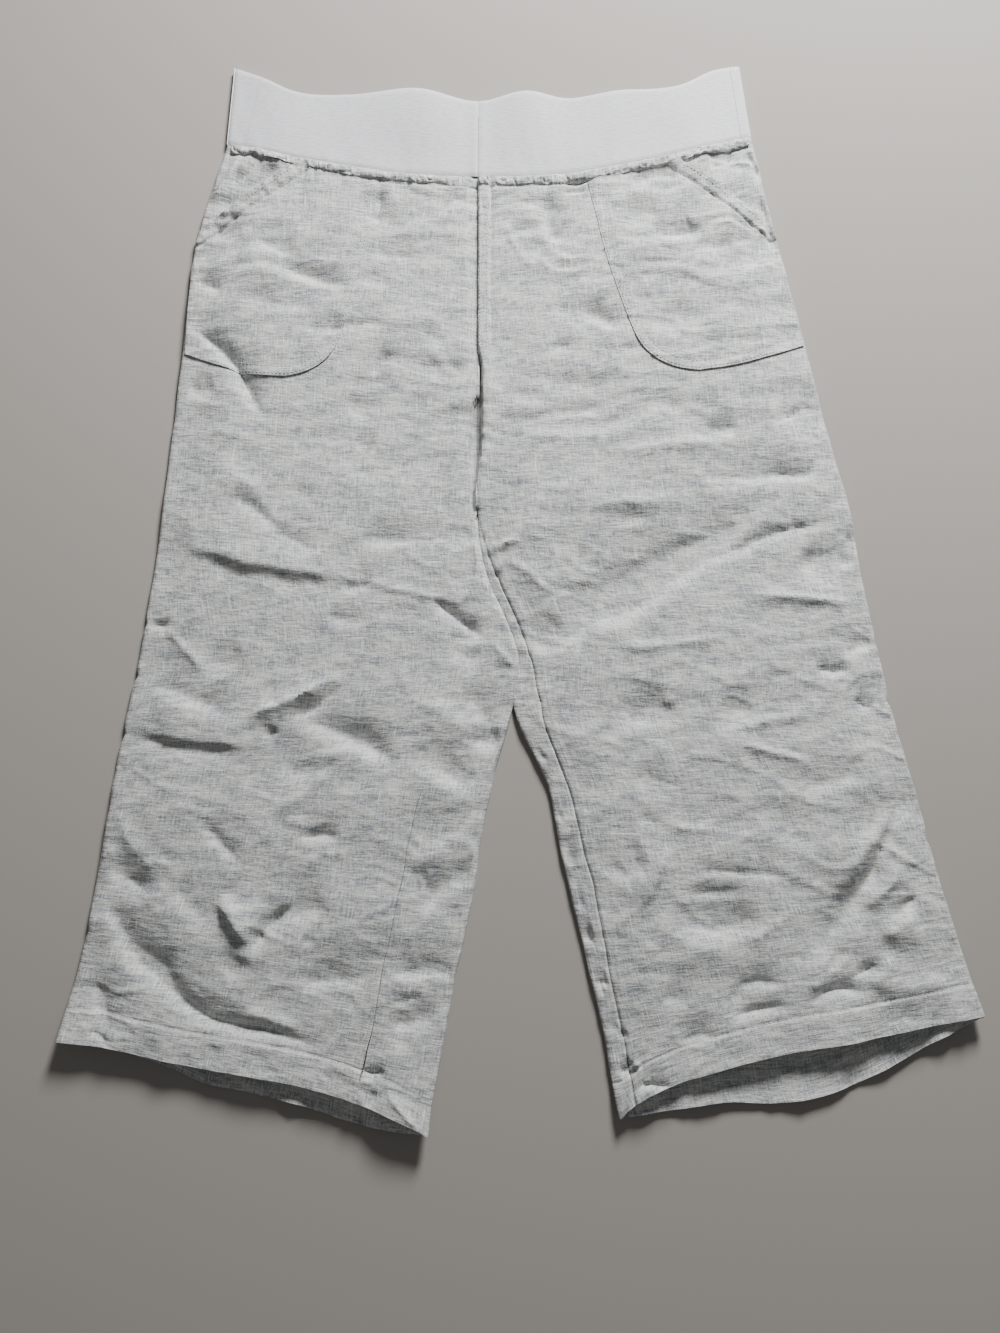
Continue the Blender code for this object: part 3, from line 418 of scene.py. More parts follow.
def offLine(x, y, line):
    # distance from a line, on its left if positive, and the share of its length passed
    lengths = np.hypot(*np.diff(line, axis=0).T)
    before = np.concatenate([[0], np.cumsum(lengths)])
    best = np.full(x.shape, np.inf)
    signed, share = np.zeros(x.shape), np.zeros(x.shape)
    for n, length in enumerate(lengths):
        dx, dy = (line[n + 1] - line[n]) / length
        fromX, fromY = x - line[n][0], y - line[n][1]
        along = np.clip(fromX * dx + fromY * dy, 0, length)
        distance = np.hypot(fromX - along * dx, fromY - along * dy)
        nearer = distance < best
        best = np.where(nearer, distance, best)
        signed = np.where(nearer, np.copysign(distance, fromY * dx - fromX * dy), signed)
        share = np.where(nearer, (before[n] + along) / before[-1], share)
    return signed, share


def creaseShape(profile, off, width):
    # height of a crease, as a share of its rise, this far off its line; its slope is longer on
    # the positive side
    if profile == "step":
        high = np.exp(-(np.maximum(off, 0) / (1.5 * width)) ** 1.3)
        return high * bell(np.minimum(off, 0), 0.42 * width)
    width = width * np.where(off > 0, 1.75, 0.7)
    if profile == "soft":
        return np.exp(-(np.abs(off) / (0.9 * width)) ** 1.5)
    tip = 0.05   # cm, rounds the crest of a sharp crease
    return np.exp(-(np.sqrt(off ** 2 + tip ** 2) - tip) / (0.62 * width))


def creaseHeight(creases, x, y):
    # troughs slope down gently from the waist side and come up steeply; ridges the other way
    total = np.zeros(x.shape)
    for profile, width, rise, points in creases:
        line = curveLine(points)
        width = width * mm / cm
        reach = 4.5 * width
        low, high = line.min(axis=0) - reach, line.max(axis=0) + reach
        near = (x > low[0]) & (x < high[0]) & (y > low[1]) & (y < high[1])
        if near.any():
            off, share = offLine(x[near], y[near], line)
            if profile != "step" and (line[-1][0] > line[0][0]) != (rise < 0):
                off = -off
            length = np.hypot(*np.diff(line, axis=0).T).sum()
            fade = ease(share / 0.33) * ease((1 - share) / 0.33) * min(1.0, 0.25 + length / 4.5)
            total[near] += rise * fade * creaseShape(profile, off, width)
    return creaseStrength * total


# The body of the garment: heights in mm, reaches in cm.
body = {
    "foldHeight": 5.5,       # outer height of a folded edge
    "foldReach": 0.5,        # how far in a fold is rounded
    "crown": 10.5,           # height of the front between its folds
    "crownReach": 5.0,
    "lowest": 2.2,           # no trough goes deeper than this
    "seamGap": 0.03,
    "linenWall": 0.8,
    "hemWall": 1.7,          # the hem is turned up twice
    "hemDepth": 2.4,
    "hemRise": 0.6,
    "hemGroove": 0.7,        # along the hem's stitches
    "hemWaves": 2.0,
    "crinkles": 1.9,         # rumples of pressed linen
    "fineCrinkles": 0.22,
    "puckers": 0.8,          # beside the inseam
    "columns": 112,          # steps across a front
    "rowStep": 0.215,        # between the rows of a leg, closer at the waist and the hem
    "hemCurveReach": 9.0,    # how far above the hem the rows follow its curve
}


def notchDepth(leg, y):
    # small nicks where creases run over the outer fold
    depth = 0.03 * softNoise(y / 1.3, y * 0, 5)
    for place, nick, reach in leg["notches"]:
        depth = depth + nick * mm / cm * bell(y - place, reach)
    return depth


def outerX(leg, y):
    levels = np.array(leg["levels"])
    return throughPoints(levels[:, 1], levels[:, 0], y) - leg["side"] * notchDepth(leg, y)


def innerX(leg, y):
    levels = np.array(leg["levels"])
    wobble = 0.07 * softNoise(y / 2.3, y * 0, 6) * ease((3 - y) / 4)
    return throughPoints(levels[:, 3], levels[:, 2], y) + wobble


def wrapWidth(leg, y):
    levels = np.array(leg["levels"])
    return np.interp(y, levels[::-1, 3], levels[::-1, 4])


def waistY(x):
    rows = [legs[name]["levels"][0] for name in ("right", "left")]
    places = [rows[0][0], -18.7, -14.4, -10.2, -3.5, 3.5, 6.9, 11.1, 15.4, rows[1][0]]
    heights = [rows[0][1], 34.6, 33.8, 33.2, 32.9, 33.1, 33.6, 34.5, 35.6, rows[1][1]]
    return throughPoints(places, heights, x)


def hemY(leg, x, key="frontHem"):
    points = np.array(leg[key])
    return throughPoints(points[:, 0], points[:, 1], x)


def roundEdge(distance, height):
    # height of the upper layer this far in from a folded edge
    middle = body["foldHeight"] / 2
    inward = np.clip(distance / body["foldReach"], 0.0, 1.0)
    return middle + (height - middle) * np.sqrt(1 - (1 - inward) ** 2.4)


def lowerEdge(distance):
    # outer height of the lower layer near a folded edge
    return body["foldHeight"] - roundEdge(distance, body["foldHeight"])


def cornerLift(leg, x, y):
    lift = np.zeros(x.shape)
    for placeX, placeY, rise, reach in leg["cornerLifts"]:
        lift += rise * np.exp(-((x - placeX) ** 2 + (y - placeY) ** 2) / reach ** 2)
    return lift


def crinkles(x, y):
    # fine rumples of pressed linen: drawn out across the hips, broken both ways down the legs
    hips = ease((y - 2) / 10)
    warpX = x + 1.6 * softNoise(x / 7, y / 7, 11)
    warpY = y + 1.1 * softNoise(x / 6, y / 4, 12)
    across = softNoise(warpX / 5.5, warpY / 1.5, 21) + 0.5 * softNoise(warpX / 3.1, warpY / 0.7, 22)
    ridges = sharpLines(warpX / 5.5, warpY / 1.7, 3.2, 23)
    rounder = softNoise((warpX + 0.5 * warpY) / 3.4, (warpY - 0.3 * warpX) / 2.4, 24)
    rising = sharpLines((warpX - 0.8 * warpY) / 4.6, (warpY + 0.5 * warpX) / 3.3, 4, 25)
    falling = sharpLines((warpX + 0.9 * warpY) / 5.2, (warpY - 0.6 * warpX) / 2.8, 4, 27)
    uneven = 0.7 + 0.6 * softNoise(x / 6, y / 6, 28)
    fine = softNoise(warpX / 1.5, warpY / 0.6, 26) + 0.5 * softNoise(warpX / 0.8, warpY / 0.8, 29)
    onHips = 0.50 * across + 0.45 * ridges
    onLegs = 0.45 * rounder + 0.50 * rising + 0.35 * falling + 0.20 * across
    broad = hips * onHips + (1 - hips) * onLegs
    return uneven * body["crinkles"] * broad + body["fineCrinkles"] * fine


# Gathers where the elastic draws the linen in: places in cm, heights in mm
gather = {
    "pleatRise": 1.25,
    "pleatWidths": (0.42, 0.9),
    "pleatReach": 1.5,
    "stitchLine": 0.92,      # below the waist seam
    "groove": 0.5,           # along the stitches
    "dive": 2.0,             # down to the waist seam
}


def gathers(x, belowWaist):
    narrow, broad = gather["pleatWidths"]
    shifted = x + 0.35 * softNoise(x / 2.0, belowWaist / 3, 31)
    uneven = 0.75 + 0.65 * softNoise(x / 3.1, x * 0, 32)
    pleats = softNoise(shifted / narrow, belowWaist / 4, 33)
    pleats = pleats + 0.8 * softNoise(shifted / broad, belowWaist / 5, 34)
    fall = np.exp(-np.maximum(belowWaist - 0.8, 0) / gather["pleatReach"]) * ease(belowWaist / 0.9)
    groove = gather["groove"] * bell(belowWaist - gather["stitchLine"], 0.14)
    dive = gather["dive"] * (1 - ease(belowWaist / 0.14))
    return gather["pleatRise"] * uneven * pleats * fall - groove - dive


# The centre front seam: a felled strip on the left front, and lower down an open slot between two
# rolls, which the seam sinks into. Places in cm, heights in mm.
seam = {
    "stripFoot": 15.5,       # the strip has faded out this far down
    "stripWidth": 0.98,
    "stripRise": 2.0,
    "stripGroove": 1.1,      # beside the strip
    "stripHollow": 0.9,      # around it
    "rightSlope": 2.8,       # how far the right front falls to the strip
    "slotTop": 20.0,
    "slotFoot": 3.1,
    "slotDepth": 9.0,
    "rollLeft": 1.8,
    "rollRight": 3.8,
    "slotEdges": [           # y, and the left and right edge off the seam
        (3.0, -0.36, -0.25), (4.1, -0.36, -0.25), (5.3, -0.42, -0.16), (6.2, -0.36, -0.12),
        (7.2, -0.46, 0.0), (8.2, -0.52, 0.2), (9.1, -0.60, 0.3), (10.0, -0.42, 0.34),
        (11.0, -0.48, 0.34), (12.9, -0.28, 0.34), (13.7, 0.16, 0.42), (16.0, 0.22, 0.32),
        (18.0, 0.0, 0.0),
    ],
}


def centreSeam(leg, x, y):
    off = x - seamX
    above = ease((y - seam["stripFoot"]) / 3.5)
    sink = ease((seam["slotTop"] - y) / 5) * ease((y - seam["slotFoot"]) / 2.4)
    edges = np.array(seam["slotEdges"])
    left, right = (np.interp(y, edges[:, 0], edges[:, n]) for n in (1, 2))
    slot = seam["slotDepth"] * ease((off - left + 0.10) / 0.18) * ease((right + 0.10 - off) / 0.18)
    rollLeft = seam["rollLeft"] * bell(off - left + 1.2, 0.9)
    rollRight = seam["rollRight"] * bell(off - right - 0.35, 0.75)
    lower = sink * (np.where(off > (left + right) / 2, rollRight, rollLeft) - slot)
    if leg["side"] > 0:
        strip = seam["stripRise"] * ease(off / 0.12) * ease((seam["stripWidth"] - off) / 0.12)
        edge = seam["stripGroove"] * bell(off - 1.10, 0.14) + seam["stripHollow"] * bell(off - 0.6, 1.3)
        return above * (strip - edge) + lower
    return lower - above * seam["rightSlope"] * ease((off + 1.1) / 0.9)


def inseamRidge(leg, fromSeam, y):
    # pressed seam on a leg: a fine groove with the allowance under the front beside it; it is
    # pressed flat on the upper right leg
    groove = bell(fromSeam, 0.10)
    allowance = ease((fromSeam - 0.05) / 0.12) * ease((0.9 - fromSeam) / 0.15)
    shown = ease((leg["seamTop"] - y) / 3)
    return shown * (0.45 * allowance - 0.9 * groove)


def frontHeight(leg, x, y):
    outer = leg["side"] * (outerX(leg, y) - x)
    inner = leg["side"] * (x - innerX(leg, y))
    onLeg = ease((4.2 - y) / 1.2)
    reach = body["crownReach"]
    uneven = 1.2 * softNoise(y / 4.1, y * 0 + leg["side"], 41)
    innerHeight = np.interp(y, *np.array(leg["innerHeight"]).T)
    outerSide = body["foldHeight"] + uneven + (body["crown"] - body["foldHeight"]) * ease(outer / reach)
    innerSide = innerHeight + (body["crown"] - innerHeight) * ease(inner / reach)
    height = np.minimum(outerSide, innerSide)
    belowWaist = waistY(x) - y
    envelope = ease(outer / 0.4) * (1 - onLeg * (1 - ease(inner / 0.7)))
    # creases fade just below the waist seam, except at its right end
    calmer = 1 - 0.7 * (1 - ease((belowWaist - 0.6) / 0.7)) * ease((x + 20.5) / 1.5)
    height = height + envelope * calmer * (creaseHeight(leg["creases"], x, y) + crinkles(x, y))
    height = height + ease(outer / 0.5) * gathers(x, belowWaist)
    height = height + centreSeam(leg, x, y)
    height = height + inseamRidge(leg, inner - wrapWidth(leg, y), y)
    puckers = softNoise(y / 0.8, x / 3, 43) * bell(inner, 1.3)
    height = height + body["puckers"] * onLeg * puckers
    # the hem: twice turned cloth with a row of stitches, and waves along its edge
    aboveHem = y - hemY(leg, x)
    turned = ease((body["hemDepth"] + 0.05 - aboveHem) / 0.15)
    groove = body["hemGroove"] * bell(aboveHem - body["hemDepth"], 0.11)
    height = height + body["hemRise"] * turned - groove
    height = height + 0.5 * turned * softNoise(x / 1.1, aboveHem / 2, 44)
    waves = np.exp(-np.maximum(aboveHem, 0) / 2.4) * ease(outer / 3) * ease(inner / 3)
    height = height + waves * (1.2 + body["hemWaves"] * softNoise(x / 2.4, aboveHem / 9, 46))
    height = roundEdge(outer, np.maximum(height, body["lowest"]))
    height = np.where(onLeg > 0, np.minimum(height, roundEdge(inner, height)), height)
    return height + cornerLift(leg, x, y)


def rowSteps(leg):
    # y along the inner side for each row: close rows at the waist seam and at the hem
    levels = np.array(leg["levels"])
    top, bottom = levels[0, 3], levels[-1, 3]
    depth, steps = 0.0, [0.0]
    while depth < top - bottom:
        fine = min(1.0, 0.30 + 0.70 * float(ease(np.array((depth - 1.2) / 3.0))))
        fine = min(fine, 0.45 + 0.55 * float(ease(np.array((top - bottom - depth - 2.6) / 2.0))))
        depth += body["rowStep"] * fine
        steps.append(depth)
    return top - np.array(steps) / depth * (top - bottom)


def legGrid(leg, shares, key, toInner=None):
    # places across each row between the outer fold and toInner, short of the inner fold
    levels = np.array(leg["levels"])
    innerY = rowSteps(leg)
    outerY = throughPoints(levels[:, 3], levels[:, 1], innerY)
    startX, endX = outerX(leg, outerY), innerX(leg, innerY)
    length = np.hypot(endX - startX, innerY - outerY)
    short = 0 if toInner is None else toInner(innerY)
    part = shares[None, :] * (length - short)[:, None] / length[:, None]
    x = startX[:, None] + (endX - startX)[:, None] * part
    y = outerY[:, None] + (innerY - outerY)[:, None] * part
    follow = ease(1 - (innerY - innerY[-1]) / body["hemCurveReach"])[:, None]
    y = y + follow * (hemY(leg, x, key) - y[-1])
    # the rows sag a little between the folds, and the first one follows the waist seam
    bow = -2 * part * (1 - part) * (1 - ease((innerY[0] - innerY) / 12))[:, None]
    toWaist = ease(1 - (innerY[0] - innerY) / 6)[:, None]
    y = y + bow + (waistY(x[0]) - y[0] - bow[0]) * toWaist
    down = np.concatenate([[0], np.cumsum(np.abs(np.diff(innerY)))])[:, None]
    grainX = leg["side"] * (0.55 - part) * length[:, None]
    return x, y, np.stack([grainX * cm, -(down + 0 * x) * cm], axis=-1)


def makeCloth(name, x, y, z, grain, wall, material, flip=False, keep=None, thick=None):
    # a shell through a grid of points in cm and mm, with its wall on the inner side; keep picks
    # the faces, and thick is the share of the wall at each point
    rows, columns = x.shape
    points = np.stack([x * cm, y * cm, z * mm], axis=-1).reshape(-1, 3)
    corner = np.arange((rows - 1) * columns).reshape(rows - 1, columns)[:, :-1]
    faces = np.stack([corner, corner + columns, corner + columns + 1, corner + 1], axis=-1)
    faces = faces[keep] if keep is not None else faces.reshape(-1, 4)
    if flip:
        faces = faces[:, ::-1]
    used, faces = np.unique(faces, return_inverse=True)
    faces = faces.reshape(-1, 4)
    mesh = bpy.data.meshes.new(name)
    mesh.from_pydata(points[used].tolist(), [], faces.tolist())
    grainMap = mesh.uv_layers.new(name="grain")
    grainMap.data.foreach_set("uv", grain.reshape(-1, 2)[used][faces.ravel()].astype(np.float32).ravel())
    mesh.materials.append(material)
    cloth = bpy.data.objects.new(name, mesh)
    bpy.context.scene.collection.objects.link(cloth)
    solidify = cloth.modifiers.new("wall", "SOLIDIFY")
    solidify.thickness = wall * mm
    solidify.offset = -1.0
    solidify.use_even_offset = False
    if thick is not None:
        group = cloth.vertex_groups.new(name="wall")
        weights = np.round(thick.ravel()[used], 2)
        for weight in np.unique(weights):
            group.add(np.flatnonzero(weights == weight).tolist(), float(weight), "REPLACE")
        solidify.vertex_group = "wall"
    bpy.ops.object.select_all(action="DESELECT")
    bpy.context.view_layer.objects.active = cloth
    cloth.select_set(True)
    bpy.ops.object.modifier_apply(modifier="wall")
    bpy.ops.object.shade_smooth_by_angle(angle=radians(60))
    cloth.select_set(False)
    return cloth


# Materials
colours = {
    "linenWhite": "#E6E6E0",
    "linenMiddle": "#C2C3C2",
    "linenGrey": "#8D9298",
    "slubWhite": "#F6F5EF",
    "slubGrey": "#868C94",
    "elastic": "#E0E0E3",
    # painted shade in the grooves between the elastic's courses
    "paintedCourseShade": "#CFD0D6",
    "thread": "#D9D9D4",
    "floor": "#A8A39D",
}


def linear(name):
    # sRGB hex to linear
    values = [int(colours[name][n:n + 2], 16) / 255 for n in (1, 3, 5)]
    return tuple(v / 12.92 if v <= 0.04045 else ((v + 0.055) / 1.055) ** 2.4 for v in values) + (1.0,)


def addNode(material, kind, inputs=None, **settings):
    node = material.node_tree.nodes.new(kind)
    for name, value in settings.items():
        setattr(node, name, value)
    for socket, value in (inputs or {}).items():
        if isinstance(value, bpy.types.NodeSocket):
            material.node_tree.links.new(value, node.inputs[socket])
        else:
            node.inputs[socket].default_value = value
    return node


def newMaterial(name, roughness, sheen=0.0):
    material = bpy.data.materials.new(name)
    material.use_nodes = True
    shader = material.node_tree.nodes["Principled BSDF"]
    shader.inputs["Roughness"].default_value = roughness
    shader.inputs["Sheen Weight"].default_value = sheen
    shader.inputs["Sheen Roughness"].default_value = 0.5
    shader.inputs["Specular IOR Level"].default_value = 0.25
    return material, shader


def linenMaterial():
    # Washed linen, yarn-dyed white and blue-grey: uneven slub threads show as short streaks both
    # ways. Threads are about 0.5 mm apart; they are drawn 1.2 mm wide so that they show.
    material, shader = newMaterial("washedMelangeLinen", 0.9, 0.1)
    grain = addNode(material, "ShaderNodeTexCoord").outputs["UV"]

    def threads(along, across, detail=2.0):
        place = addNode(material, "ShaderNodeMapping", {
            "Vector": grain, "Scale": (1 / along, 1 / across, 1)}).outputs["Vector"]
        return addNode(material, "ShaderNodeTexNoise", {
            "Vector": place, "Scale": 1.0, "Detail": detail, "Roughness": 0.55}).outputs["Fac"]

    def mixed(share, first, second):
        return addNode(material, "ShaderNodeMix", {0: share, 2: first, 3: second},
                       data_type="FLOAT").outputs[0]

    def stretched(value, low, high):
        return addNode(material, "ShaderNodeMapRange", {
            "Value": value, "From Min": low, "From Max": high}).outputs["Result"]

    weave = mixed(0.48, threads(0.010, 0.0012), threads(0.0012, 0.011))
    weave = mixed(0.30, weave, threads(0.0016, 0.0014))
    clouded = mixed(0.26, weave, threads(0.026, 0.008, 3.0))
    ramp = addNode(material, "ShaderNodeValToRGB", {"Fac": clouded})
    ramp.color_ramp.elements[0].position = 0.415
    ramp.color_ramp.elements[0].color = linear("linenGrey")
    ramp.color_ramp.elements[1].position = 0.585
    ramp.color_ramp.elements[1].color = linear("linenWhite")
    ramp.color_ramp.elements.new(0.50).color = linear("linenMiddle")
    # single thick threads, white and grey, that stand out
    white = stretched(threads(0.022, 0.0013, 1.0), 0.62, 0.80)
    whiteDown = stretched(threads(0.0013, 0.024, 1.0), 0.62, 0.80)
    grey = stretched(threads(0.016, 0.0015, 1.0), 0.38, 0.20)
    colour = ramp.outputs["Color"]
    for amount, name in ((white, "slubWhite"), (whiteDown, "slubWhite"), (grey, "slubGrey")):
        colour = addNode(material, "ShaderNodeMix", {0: amount, 6: colour, 7: linear(name)},
                         data_type="RGBA").outputs[2]
    rumple = addNode(material, "ShaderNodeBump", {
        "Height": threads(0.010, 0.0045, 3.0), "Strength": 0.5, "Distance": 0.0014})
    bump = addNode(material, "ShaderNodeBump", {
        "Height": weave, "Strength": 0.6, "Distance": 0.0009, "Normal": rumple.outputs["Normal"]})
    material.node_tree.links.new(colour, shader.inputs["Base Color"])
    material.node_tree.links.new(bump.outputs["Normal"], shader.inputs["Normal"])
    return material


def elasticMaterial():
    # Knitted elastic tape: smooth and even, with fine courses along the band. They are about
    # 0.6 mm apart and drawn 1.4 mm apart so that they show. Their colour is painted darker where they dip:
    # painted shade in the grooves.
    material, shader = newMaterial("knittedElastic", 0.75, 0.25)
    grain = addNode(material, "ShaderNodeTexCoord").outputs["UV"]
    place = addNode(material, "ShaderNodeMapping", {"Vector": grain, "Scale": (1 / 0.006, 1 / 0.0014, 1)})
    courses = addNode(material, "ShaderNodeTexNoise", {
        "Vector": place.outputs["Vector"], "Scale": 1.0, "Detail": 2.0, "Roughness": 0.5})
    # painted shade: the colour darkens where the courses dip, as shade in the grooves would
    ramp = addNode(material, "ShaderNodeValToRGB", {"Fac": courses.outputs["Fac"]})
    ramp.color_ramp.elements[0].position = 0.3
    ramp.color_ramp.elements[0].color = linear("paintedCourseShade")
    ramp.color_ramp.elements[1].position = 0.6
    ramp.color_ramp.elements[1].color = linear("elastic")
    bump = addNode(material, "ShaderNodeBump", {
        "Height": courses.outputs["Fac"], "Strength": 0.35, "Distance": 0.0005})
    material.node_tree.links.new(ramp.outputs["Color"], shader.inputs["Base Color"])
    material.node_tree.links.new(bump.outputs["Normal"], shader.inputs["Normal"])
    return material


def threadMaterial():
    # Spun polyester thread: a soft off-white twist
    material, shader = newMaterial("spunThread", 0.8, 0.2)
    grain = addNode(material, "ShaderNodeTexCoord").outputs["Object"]
    twist = addNode(material, "ShaderNodeTexNoise", {"Vector": grain, "Scale": 900.0, "Detail": 1.0})
    ramp = addNode(material, "ShaderNodeValToRGB", {"Fac": twist.outputs["Fac"]})
    ramp.color_ramp.elements[0].color = linear("linenMiddle")
    ramp.color_ramp.elements[1].color = linear("thread")
    material.node_tree.links.new(ramp.outputs["Color"], shader.inputs["Base Color"])
    return material


linen, elastic, thread = linenMaterial(), elasticMaterial(), threadMaterial()
print("Materials made")


# Fronts and backs
wallShare = body["linenWall"] / body["hemWall"]


def denseEnds(count, amount):
    # shares from 0 to 1, closer together at both ends
    t = np.linspace(0, 1, count + 1)
    return t - amount * np.sin(2 * np.pi * t) / (2 * np.pi)


def wallWeights(leg, x, y, key):
    inHem = ease((body["hemDepth"] + 0.1 - (y - hemY(leg, x, key))) / 0.3)
    return wallShare + (1 - wallShare) * inHem


def seamGap(leg, rowY):
    # half the centre seam, and a hairline at the inseam where it shows
    return np.where(rowY > 3.8, 0.5, np.where(rowY > leg["seamTop"], 0.2, 1.0)) * body["seamGap"]


def makeFront(name, leg):
    x, y, grain = legGrid(leg, denseEnds(body["columns"], 0.5), "frontHem",
                          toInner=lambda rowY: wrapWidth(leg, rowY) + seamGap(leg, rowY))
    z = frontHeight(leg, x, y)
    z[:, 0] = np.maximum(z[:, 0], body["foldHeight"] / 2 + cornerLift(leg, x, y)[:, 0]) + 0.15
    return makeCloth("linen_" + name, x, y, z, grain, body["hemWall"], linen, flip=leg["side"] > 0,
                     thick=wallWeights(leg, x, y, "frontHem"))


def backHeight(leg, x, y):
    # the underside lies on the floor, but for soft ripples at its hem
    outer = leg["side"] * (outerX(leg, y) - x)
    inner = leg["side"] * (x - innerX(leg, y))
    aboveHem = y - hemY(leg, x, "backHem")
    nearHem = np.exp(-np.maximum(aboveHem, 0) / 1.6)
    ripples = 2.1 + 2.6 * softNoise(x / 2.1, aboveHem / 9, 51) + 0.7 * softNoise(x / 0.9, y / 2, 52)
    rumples = 0.25 * (1 + softNoise(x / 4, y / 2.5, 53)) * ease(aboveHem / 4)
    raised = np.maximum(nearHem * ripples, 0) + rumples
    height = raised * ease((outer - 0.6) / 2) * ease((inner - 0.6) / 2)
    height = height + lowerEdge(outer)
    height = height + np.where(y < 4.2, ease((4.2 - y) / 0.8) * lowerEdge(inner), 0)
    return height + cornerLift(leg, x, y)


def makeBack(name, leg):
    # flat back, then round the inner fold and over on to the front as far as the inseam
    levels = np.array(leg["levels"])
    reach = body["foldReach"]
    under = denseEnds(56, 0.55)
    x, y, grain = legGrid(leg, under, "backHem")
    rowY = rowSteps(leg)
    z = backHeight(leg, x, y)
    z[:, 0] -= 0.15
    endX, endY = x[:, -1:], y[:, -1:]
    wrap = wrapWidth(leg, rowY)[:, None]
    overFold = [0.02, 0.06, 0.14, 0.25, 0.38, 0.5]
    onFront = np.linspace(0, 1, 27)[1:]
    distance = np.concatenate([np.broadcast_to(overFold, (len(rowY), len(overFold))),
                               reach + np.maximum(wrap - reach, 0.1) * onFront[None, :]], axis=1)
    upper, upperY, _ = legGrid(leg, np.array([0.0, 1.0]), "frontHem")
    direction = np.stack([upper[:, 0] - upper[:, 1], upperY[:, 0] - upperY[:, 1]], axis=-1)
    direction /= np.hypot(direction[:, 0], direction[:, 1])[:, None]
    overX = upper[:, 1:] + direction[:, :1] * distance
    overY = upperY[:, 1:] + direction[:, 1:] * distance
    toHem = hemY(leg, overX) - (upperY[-1, 1] + direction[-1, 1] * distance)
    overY += ease(1 - (rowY - rowY[-1]) / 4)[:, None] * toHem
    overZ = frontHeight(leg, overX, overY)
    join = ease(distance / reach)
    overY = overY * join + (endY + direction[:, 1:] * distance) * (1 - join)
    allX, allY = np.concatenate([x, overX], axis=1), np.concatenate([y, overY], axis=1)
    allZ = np.concatenate([z, overZ], axis=1)
    overGrain = grain[:, -1:, :] + np.stack([leg["side"] * distance * cm, 0 * distance], axis=-1)
    keep = np.ones((len(rowY) - 1, allX.shape[1] - 1), bool)
    keep[:, under.size - 1:] = (rowY[:-1] < levels[4, 3] - 0.4)[:, None]
    weights = np.concatenate([wallWeights(leg, x, y, "backHem"),
                              wallWeights(leg, overX, overY, "frontHem")], axis=1)
    return makeCloth("linen_" + name, allX, allY, allZ, np.concatenate([grain, overGrain], axis=1),
                     body["hemWall"], linen, flip=leg["side"] < 0, keep=keep, thick=weights)


pieces = {}
for name, leg in legs.items():
    pieces["front_" + name] = makeFront("front_" + name, leg)
    pieces["back_" + name] = makeBack("back_" + name, leg)
    print("Leg made:", name)


# Patch pockets: the slanted opening, the front edge, the rounded corner and the lower edge, in
# cm. The opening stands off the front a little.
pockets = {
    "right": {
        "opening": [(-27.1, 27.9), (-23.8, 30.4), (-21.0, 32.4), (-18.4, 34.3)],
        "frontEdge": [(-11.7, 33.2), (-12.5, 28.1), (-13.3, 24.6), (-13.9, 21.7), (-14.6, 19.3)],
        "corner": (-15.4, 15.6),
        "lowerEdge": [(-27.6, 17.3), (-24.0, 16.0), (-21.5, 15.4), (-19.3, 15.2)],
        "mouth": 2.0,    # mm that the opening gapes
    },
    "left": {
        "opening": [(21.3, 28.4), (18.6, 30.6), (16.1, 32.5), (13.3, 34.6)],
        "frontEdge": [(5.5, 33.4), (6.3, 29.8), (7.1, 26.1), (7.9, 23.4), (9.2, 19.6)],
        "corner": (10.2, 16.0),
        "lowerEdge": [(23.4, 18.0), (20.0, 16.8), (17.3, 16.1), (14.6, 15.7)],
        "mouth": 1.5,
    },
}
pocketWall = 0.7    # mm
pocketLift = 0.15   # mm, off the front
openingBand = 1.0   # cm, the turned edge of the opening


def openingLine(pocket):
    return curveLine(pocket["opening"], 8)


def pocketHeight(leg, pocket, x, y):
    height = frontHeight(leg, x, y) + pocketLift
    off, share = offLine(x, y, openingLine(pocket))
    off = np.abs(off)
    mouth = pocket["mouth"] * np.sin(np.pi * np.clip(share, 0, 1)) ** 0.7
    height = height + mouth * np.exp(-off / 0.9) + 0.9 * ease((openingBand - off) / 0.12)
    height = height + 0.6 * ease((1.2 - off) / 0.3) * softNoise(share * 26, off / 2, 61)
    height = height - 0.6 * bell(off - openingBand - 0.05, 0.12)
    # the front edge is pressed down, the corner and the lower edge stand up
    edgeOff = np.abs(offLine(x, y, pocketEdge(pocket))[0])
    upright = ease((y - 18.5) / 3)
    height = height - 0.26 * upright * bell(edgeOff, 0.3)
    height = height + 0.35 * (1 - upright) * bell(edgeOff, 0.5)
    return height - 0.3 * bell(edgeOff - 0.8, 0.14)


def cornerCurve(pocket):
    start, end = np.array(pocket["frontEdge"][-1]), np.array(pocket["lowerEdge"][-1])
    t = np.linspace(0, 1, 17)[:, None]
    return (1 - t) ** 2 * start + 2 * t * (1 - t) * np.array(pocket["corner"]) + t ** 2 * end


def pocketEdge(pocket):
    # front edge, corner and lower edge in one line
    return np.concatenate([curveLine(pocket["frontEdge"])[:-1], cornerCurve(pocket),
                           curveLine(pocket["lowerEdge"])[::-1][1:]])


